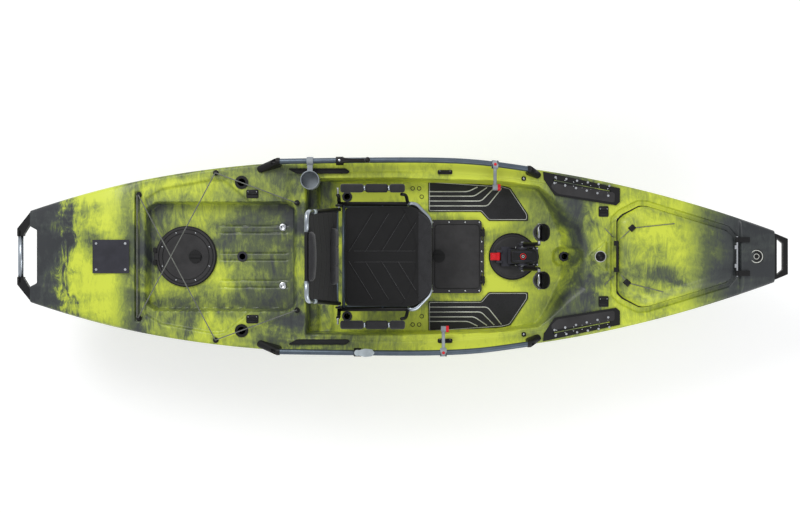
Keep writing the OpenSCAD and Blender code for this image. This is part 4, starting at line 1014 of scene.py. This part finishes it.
def drive_details():
    z = TURRET_HIGH[2]
    egg = []
    for a in np.linspace(0, 2 * math.pi, 73)[:-1]:
        c, aft = math.cos(a), math.cos(a) < 0
        egg.append((DRIVE_X + (130 if aft else 143) * c, 128 * math.sin(a) * (1 if aft else 1
                - 0.16 * c ** 2)))

    def cover_top(x, y):
        rise = 5 * smooth(1 - np.hypot(x - DRIVE_X, y) / 130)
        return z + 1 + rise - 2.4 * ridge(np.hypot((x - DRIVE_X) / 1.05, y) - 108, 5)

    cover = dome("turret_cover", egg, z - 9, cover_top, 11, LIDS, "hull", skirt=4, n=(90, 80))
    parts = [sweep("turret_rim", [(x * 0.985 + DRIVE_X * 0.015, y * 0.985, z + 0.6) for x, y in egg], 3.2,
            BLACK, "hull", 8, closed=True)]
    low, high = corners("drive_spine")
    top = high[2]
    parts.append(dome("spine_cover", smooth_outline(mirrored([(590, 30), (606, 38), (712, 38), (730, 28)]),
            10), top - 6, lambda x, y: top + 4 + 3 * np.cos(y / 38 * 1.3), 9, BLACK, "hull", skirt=4,
            n=(50, 40)))
    for s in (-1, 1):
        parts.append(sweep("spine_rib", [(600, s * 24, top + 4), (705, s * 24, top + 4)], 3.2, DARK, "hull",
                8))
        parts.append(sweep("spine_rail", [(600, s * 47, low[2] + 27), (742, s * 47, low[2] + 27)], 4.5,
                LIDS, "hull", 10))
        for x in (724, 744):
            parts.append(button("spine_bolt", x, s * 44, low[2] + 26, 6, STEEL, "hull", 5))
        parts.append(button("spine_bolt", 628, s * 47, low[2] + 30, 5, STEEL, "hull", 3))
    parts.append(lathe("spine_cap", [(20, -3), (20, 2), (17, 4), (0.01, 4)], (656, 0, top + 5), BLACK,
            "hull", 32))
    parts.append(ring("spine_cap_ring", (656, 0, top + 9), 15, 1.8, RED, "hull"))
    parts.append(ring("spine_cap_core", (656, 0, top + 9), 6, 1.4, LINE, "hull"))
    join("drive_details", parts)
    low, high = corners("drive_lever")
    grip = dome("lever_grip", smooth_outline(oblong(489, -19, 522, 19), 6), low[2] + 1,
            lambda x, y: high[2] + 1 - 2.5 * ridge(np.abs(y) - 7, 4), 5, RED, "lever", skirt=3, n=(30, 40))
    sit(grip)


def pedals():
    tilt = math.radians(28)
    for side, body in ((1, "pedal_port"), (-1, "pedal_starboard")):
        reach, rise = 72.0, 150.0
        parts = []

        def out(x, y, z):
            return (AXLE[0] + x, side * y, AXLE[1] + z)

        arm = [out(0, 65, 0), out(0.3 * reach, 65, 0.3 * rise), out(reach, 66, rise)]
        parts.append(sweep("crank_arm", curve_through(arm, 6), np.linspace(13, 10, 13), BLACK, body, 16))
        parts.append(lathe("crank_hub", [(11, -9), (24, -9), (25, -7), (25, 7), (22, 9), (12, 9)],
                (AXLE[0], side * 65, AXLE[1]), DARK, body, 36, axis="Y"))
        parts.append(button_side("crank_bolt", (AXLE[0], side * 74, AXLE[1]), side, body))
        parts.append(sweep("pedal_axle", [out(reach, 66, rise), out(reach, 174, rise)], 8.6, STEEL, body,
                16))

        def plate(p):
            # plate plane: first across the boat, second along the pedal, third its thickness
            u, v, w = p[:, 1], p[:, 0], p[:, 2]
            x = math.cos(tilt) * (9 + w) + math.sin(tilt) * u
            z = -math.sin(tilt) * (9 + w) + math.cos(tilt) * u
            return np.stack([AXLE[0] + reach + x, side * v, AXLE[1] + rise + z], -1)

        parts.append(dome("pedal_rim", [(126 + 47 * math.copysign(abs(math.cos(a)) ** 0.8, math.cos(a)),
                8 + 68 * math.copysign(abs(math.sin(a)) ** 0.75, math.sin(a))) for a in np.linspace(0,
                2 * math.pi, 49)[:-1]], 0, 12, 6, BLACK, body, skirt=4, place=plate, n=(40, 50)))
        for k in range(6):
            v = -34 + 16 * k
            half = 30 * math.sqrt(1 - ((v - 8) / 66) ** 2)
            bar = np.array([(126 - half, v, 12.5), (126 + half, v, 12.5)])
            parts.append(sweep("pedal_rib", plate(bar), 3.0, LIDS, body, 8))
        rim = np.array([(x, y, 12.6) for x, y in oval(126, 8, 37, 57, 40)])
        parts.append(sweep("pedal_line", plate(rim), 1.6, LINE, body, 8, closed=True))
        strap = np.array([(80, 26, 4), (84, 28, -26), (104, 30, -52), (126, 30, -60), (148, 30, -52),
                (168, 28, -26), (172, 26, 4)], float)
        band = plate(curve_through(strap, 7))
        ends = plate(np.array([(0, 1, 0), (0, 0, 0)], float))
        across = ends[0] - ends[1]
        points, faces = [], []
        for q in band:
            points += [q - 13 * across, q + 13 * across]
        for i in range(len(band) - 1):
            faces.append((2 * i, 2 * i + 1, 2 * i + 3, 2 * i + 2))
        belt = piece("pedal_strap", points, faces, WEBBING, body)
        modify(belt, "SOLIDIFY", thickness=3 * MM, offset=0)
        parts.append(belt)
        made = join(body + "_skin", parts)
        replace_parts(sit(made), body)


def button_side(name, centre, side, body):
    profile = [(8, -2), (8, 3), (5, 5), (0.01, 5.4)]
    if side < 0:
        profile = [(r, -h) for r, h in profile][::-1]
    return lathe(name, profile, centre, STEEL, body, 20, axis="Y")


def blade(name, body, outline, thick, material, tilt=0.0, x=0.0, z=0.0):
    """A foil cut to an outline in the upright plane on the centreline."""
    def upright(p):
        return np.stack([x + p[:, 0] * math.cos(tilt) + p[:, 1] * math.sin(tilt), p[:, 2],
                z - p[:, 0] * math.sin(tilt) + p[:, 1] * math.cos(tilt)], -1)
    made = dome(name, outline, 0, thick, 30, material, body, both=True, place=upright, n=(50, 80))
    return sit(made)


def fins():
    for node, body in (("fin_front", "front_fin"), ("fin_rear", "rear_fin")):
        low = corners(node)[0]
        z = -8.0
        length = z - low[2]
        pivot = low[0] + 92
        outline = smooth_outline([(10, -30), (8, -length + 26), (-4, -length + 8), (-60, -length),
                (-90, -length + 10), (-91, -0.5 * length), (-44, -0.17 * length), (-30, -34)], 22, 5)
        parts = [blade("fin_foil", body, outline, 9, FIN, 0, pivot, z)]
        parts.append(sweep("fin_mast", [(pivot, 0, z - 4), (pivot, 0, z - 0.9 * length)],
                np.array([7.5, 5.2]), STEEL, body, 16))
        parts.append(lathe("fin_hub", [(4, -26), (12.4, -25), (13, -23), (13, 23), (12.4, 25), (4, 26)],
                (pivot, 0, z), DARK, body, 28, axis="X"))
        parts.append(lathe("fin_pin", [(4.8, -38), (4.8, 38)], (pivot, 0, z), STEEL, body, 18, axis="X"))
        made = join(node + "_foil", parts)
        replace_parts(sit(made), node)


SEAM = fabric("seam_thread", linear(52, 52, 54), 2600.0, 0.0002)


def seams():
    """Stitched lines along the seat's leaf pattern."""
    parts = []
    for start in (-300, -214, -128, -42, 44):
        for s in (-1, 1):
            line = [(start + 0.62 * y + 7, s * y, 0) for y in np.linspace(24, 226,
                    30) if -286 < start + 0.62 * y < 70]
            if len(line) > 3:
                parts.append(sweep("seat_seam", on_height(line, pan_top, 0.3), 1.3, SEAM, "hull", 6))
    for s in (-1, 1):
        parts.append(sweep("seat_seam", on_height([(x, s * 29, 0) for x in np.linspace(-250, 70, 40)],
                pan_top, 0.3), 1.3, SEAM, "hull", 6))
    made = join("seat_seams", parts)
    sit(made)


def small_fittings():
    """Flat-head screws on the deck and the leash eyelets beside the hatch."""
    parts = []
    for s in (-1, 1):
        x, y = -650.0, s * 160.0
        parts.append(lathe("deck_screw", [(21, -4), (21, 2), (18, 4.5), (8, 5), (7, 3.4), (0.01, 3.4)],
                (x, y, deck_at(x, y)), STEEL, sides=32))
    made = join("deck_screws", parts)
    parts = []
    for s in (-1, 1):
        for x, y in ((62, 376), (98, 376), (112, 330)):
            parts.append(lathe("deck_plug", [(12, -4), (12, 1.2), (9, 1.8), (8, -1), (0.01, -1)],
                    (x, s * y, deck_at(x, y)), BLACK, sides=28))
    made = join("deck_plugs", parts)


seat()
seams()
small_fittings()
backrest()
armrests()
drive_details()
pedals()
fins()

# ---------------------------------------------------------------- small moulded fittings


def cleats():
    """Cleats and clips on the deck: a dished base, two posts and a curved horn, held by two screws."""
    low = corners("deck_cleats")[0][2]
    parts = []
    for x, y, sx, sy, tall in ((-805, 338, 66, 46, 14), (235, 455, 80, 24, 16), (1091, 243, 54, 58, 12),
            (660, 420, 24, 24, 12)):
        for s in (-1, 1):
            cy = s * y
            base = smooth_outline(oblong(x - sx / 2, cy - sy / 2, x + sx / 2, cy + sy / 2), 9)
            parts.append(dome("cleat_base", base, low, low + 5, 3, BLACK, skirt=2, n=(20, 16)))
            if sx < 30:
                parts.append(button("cleat_screw", x, cy, low + 5, 6, STEEL, rise=4))
                continue
            horn = [(x - 0.42 * sx, cy, low + tall - 3), (x - 0.2 * sx, cy, low + tall - 5),
                    (x, cy, low + tall - 6), (x + 0.2 * sx, cy, low + tall - 5),
                    (x + 0.42 * sx, cy, low + tall - 3)]
            parts.append(sweep("cleat_horn", curve_through(horn, 6), 3.4, BLACK, "hull", 10))
            for t in (-0.17, 0.17):
                parts.append(lathe("cleat_post", [(6, 0), (4, 3), (4, tall - 7)], (x + t * sx, cy, low + 3),
                        BLACK, sides=16))
                parts.append(button("cleat_screw", x + 2 * t * sx, cy + 0.26 * sy, low + 4.6, 3, STEEL,
                        rise=1.4))
            for k in range(3):
                rib_y = cy + (k - 1) * 0.28 * sy
                parts.append(sweep("cleat_rib", [(x - 0.4 * sx, rib_y, low + 5),
                        (x + 0.4 * sx, rib_y, low + 5)], 1.2, LIDS, "hull", 6))
    made = join("deck_cleat_mouldings", parts)
    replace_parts(sit(made), "deck_cleats")


def pockets():
    """Mesh pocket strips along the sides, with slanted ends and a hem."""
    low, high = corners("side_pockets")
    parts = []
    for s in (-1, 1):
        outline = [(low[0], s * 474), (low[0] + 46, s * 448), (high[0] - 10, s * 448), (high[0], s * 458),
                (high[0] - 22, s * 474)]
        parts.append(dome("pocket", smooth_outline(outline, 7), low[2], high[2], 4, WEBBING, skirt=2,
                n=(90, 14)))
        parts.append(sweep("pocket_hem", [(x, y, high[2]) for x, y in smooth_outline(outline, 7)], 1.8,
                BLACK, "hull", 6, closed=True))
    made = join("pocket_strips", parts)
    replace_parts(sit(made), "side_pockets")


def steering():
    """Steering lever: a waisted arm from a broad boss to a turned knob."""
    low, high = corners("steering_lever")
    x, y = low[0] + 20, (low[1] + high[1]) / 2
    base = low[2] + 13
    reach = high[0] - 15 - x
    half = [(0, 19), (26, 15), (58, 9.5), (104, 8.5), (reach - 6, 12.5)]
    outline = ([(x + a, y + b) for a, b in half] + [(x + reach + 10, y)] + [(x + a, y - b) for a,
            b in half[::-1]] + [(x - 15, y - 12), (x - 19, y), (x - 15, y + 12)])
    parts = [dome("lever_arm", smooth_outline(outline, 12, 4), base + 0.4,
            lambda px, py: base + 12 - 3 * ridge(py - y, 5) * smooth((px - x - 24) / 10), 5, BLACK,
            "steering", skirt=3, n=(60, 24))]
    knob = [(9, 8), (8, 15), (12, 20), (15, 26), (15, 34), (12, 38.6), (5, 40), (0.01, 40)]
    parts.append(lathe("lever_knob", knob, (x + reach, y, base), BLACK, "steering", 32))
    parts.append(ring("lever_band", (x + reach, y, base + 30), 14.6, 1.2, SILVER, "steering"))
    parts.append(lathe("lever_stem", [(7.9, -13), (7.9, 1)], (x, y, base), STEEL, "steering", 24))
    parts.append(button("lever_screw", x, y, base + 12, 7, STEEL, "steering", 3))
    made = join("steering_lever_moulding", parts)
    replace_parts(sit(made), "steering_lever")


def collars():
    """Dark collars and a red clamp screw where each arm grips the rail."""
    low, high = corners("clamp_arms")
    parts = []
    for x, y in ((high[0] - 20, 491.3), (low[0] + 18, -513.0)):
        for off in (-14, 14):
            parts.append(lathe("clamp_collar", [(16, -3), (21.5, -3), (22.5, 0), (21.5, 3), (16, 3)],
                    (x + off, y, RAIL_Z), BLACK, "hull", 30, axis="X"))
        parts.append(button("clamp_screw", x, y, high[2] - 0.5, 8, RED, rise=5))
    join("clamp_collars", parts)


cleats()
pockets()
steering()
collars()

# ---------------------------------------------------------------- floor, light and camera


def stage_and_light():
    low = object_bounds()[0]
    data = bpy.data.meshes.new("studio_floor")
    bm = bmesh.new()
    bmesh.ops.create_grid(bm, x_segments=1, y_segments=1, size=30)
    bm.to_mesh(data)
    bm.free()
    floor = bpy.data.objects.new("studio_floor", data)
    floor.location.z = low[2] - 0.012
    scene.collection.objects.link(floor)
    n = Nodes("studio_floor_white")
    for socket, value in (("Base Color", (0.82, 0.82, 0.82, 1)), ("Roughness", 1.0),
            ("Specular IOR Level", 0.0), ("Emission Color", (1, 1, 1, 1))):
        n.shader.inputs[socket].default_value = value
    rays = n.add("ShaderNodeLightPath").outputs
    seen = n.math("MAXIMUM", rays["Is Camera Ray"], rays["Is Glossy Ray"])
    n.link(n.math("MULTIPLY", seen, 0.32), "Emission Strength")
    data.materials.append(n.material)
    world = bpy.data.worlds.new("studio_world")
    scene.world = world
    world.use_nodes = True
    back = world.node_tree.nodes["Background"]
    back.inputs["Color"].default_value = (0.97, 0.98, 1.0, 1)
    back.inputs["Strength"].default_value = 0.62
    for name, place, size, energy in (("key_light", (-2.4, 3.6, 5.2), 3.0, 190),
            ("fill_light", (2.8, -4.2, 4.2), 4.0, 110)):
        lamp = bpy.data.lights.new(name, "AREA")
        lamp.size = size
        lamp.energy = energy
        made = bpy.data.objects.new(name, lamp)
        made.location = place
        made.rotation_euler = (-Vector(place)).to_track_quat("-Z", "Y").to_euler()
        scene.collection.objects.link(made)


def top_camera():
    """Straight down over the boat, with the bow to the right."""
    lens = bpy.data.cameras.new("top_camera")
    lens.lens = 50
    lens.sensor_width = 36
    made = bpy.data.objects.new("top_camera", lens)
    width = 4.32
    centre = -0.008
    made.location = (centre, 0, SHEER * MM + width * lens.lens / lens.sensor_width)
    scene.collection.objects.link(made)
    scene.camera = made


stage_and_light()
top_camera()
scene.view_settings.view_transform = "Standard"
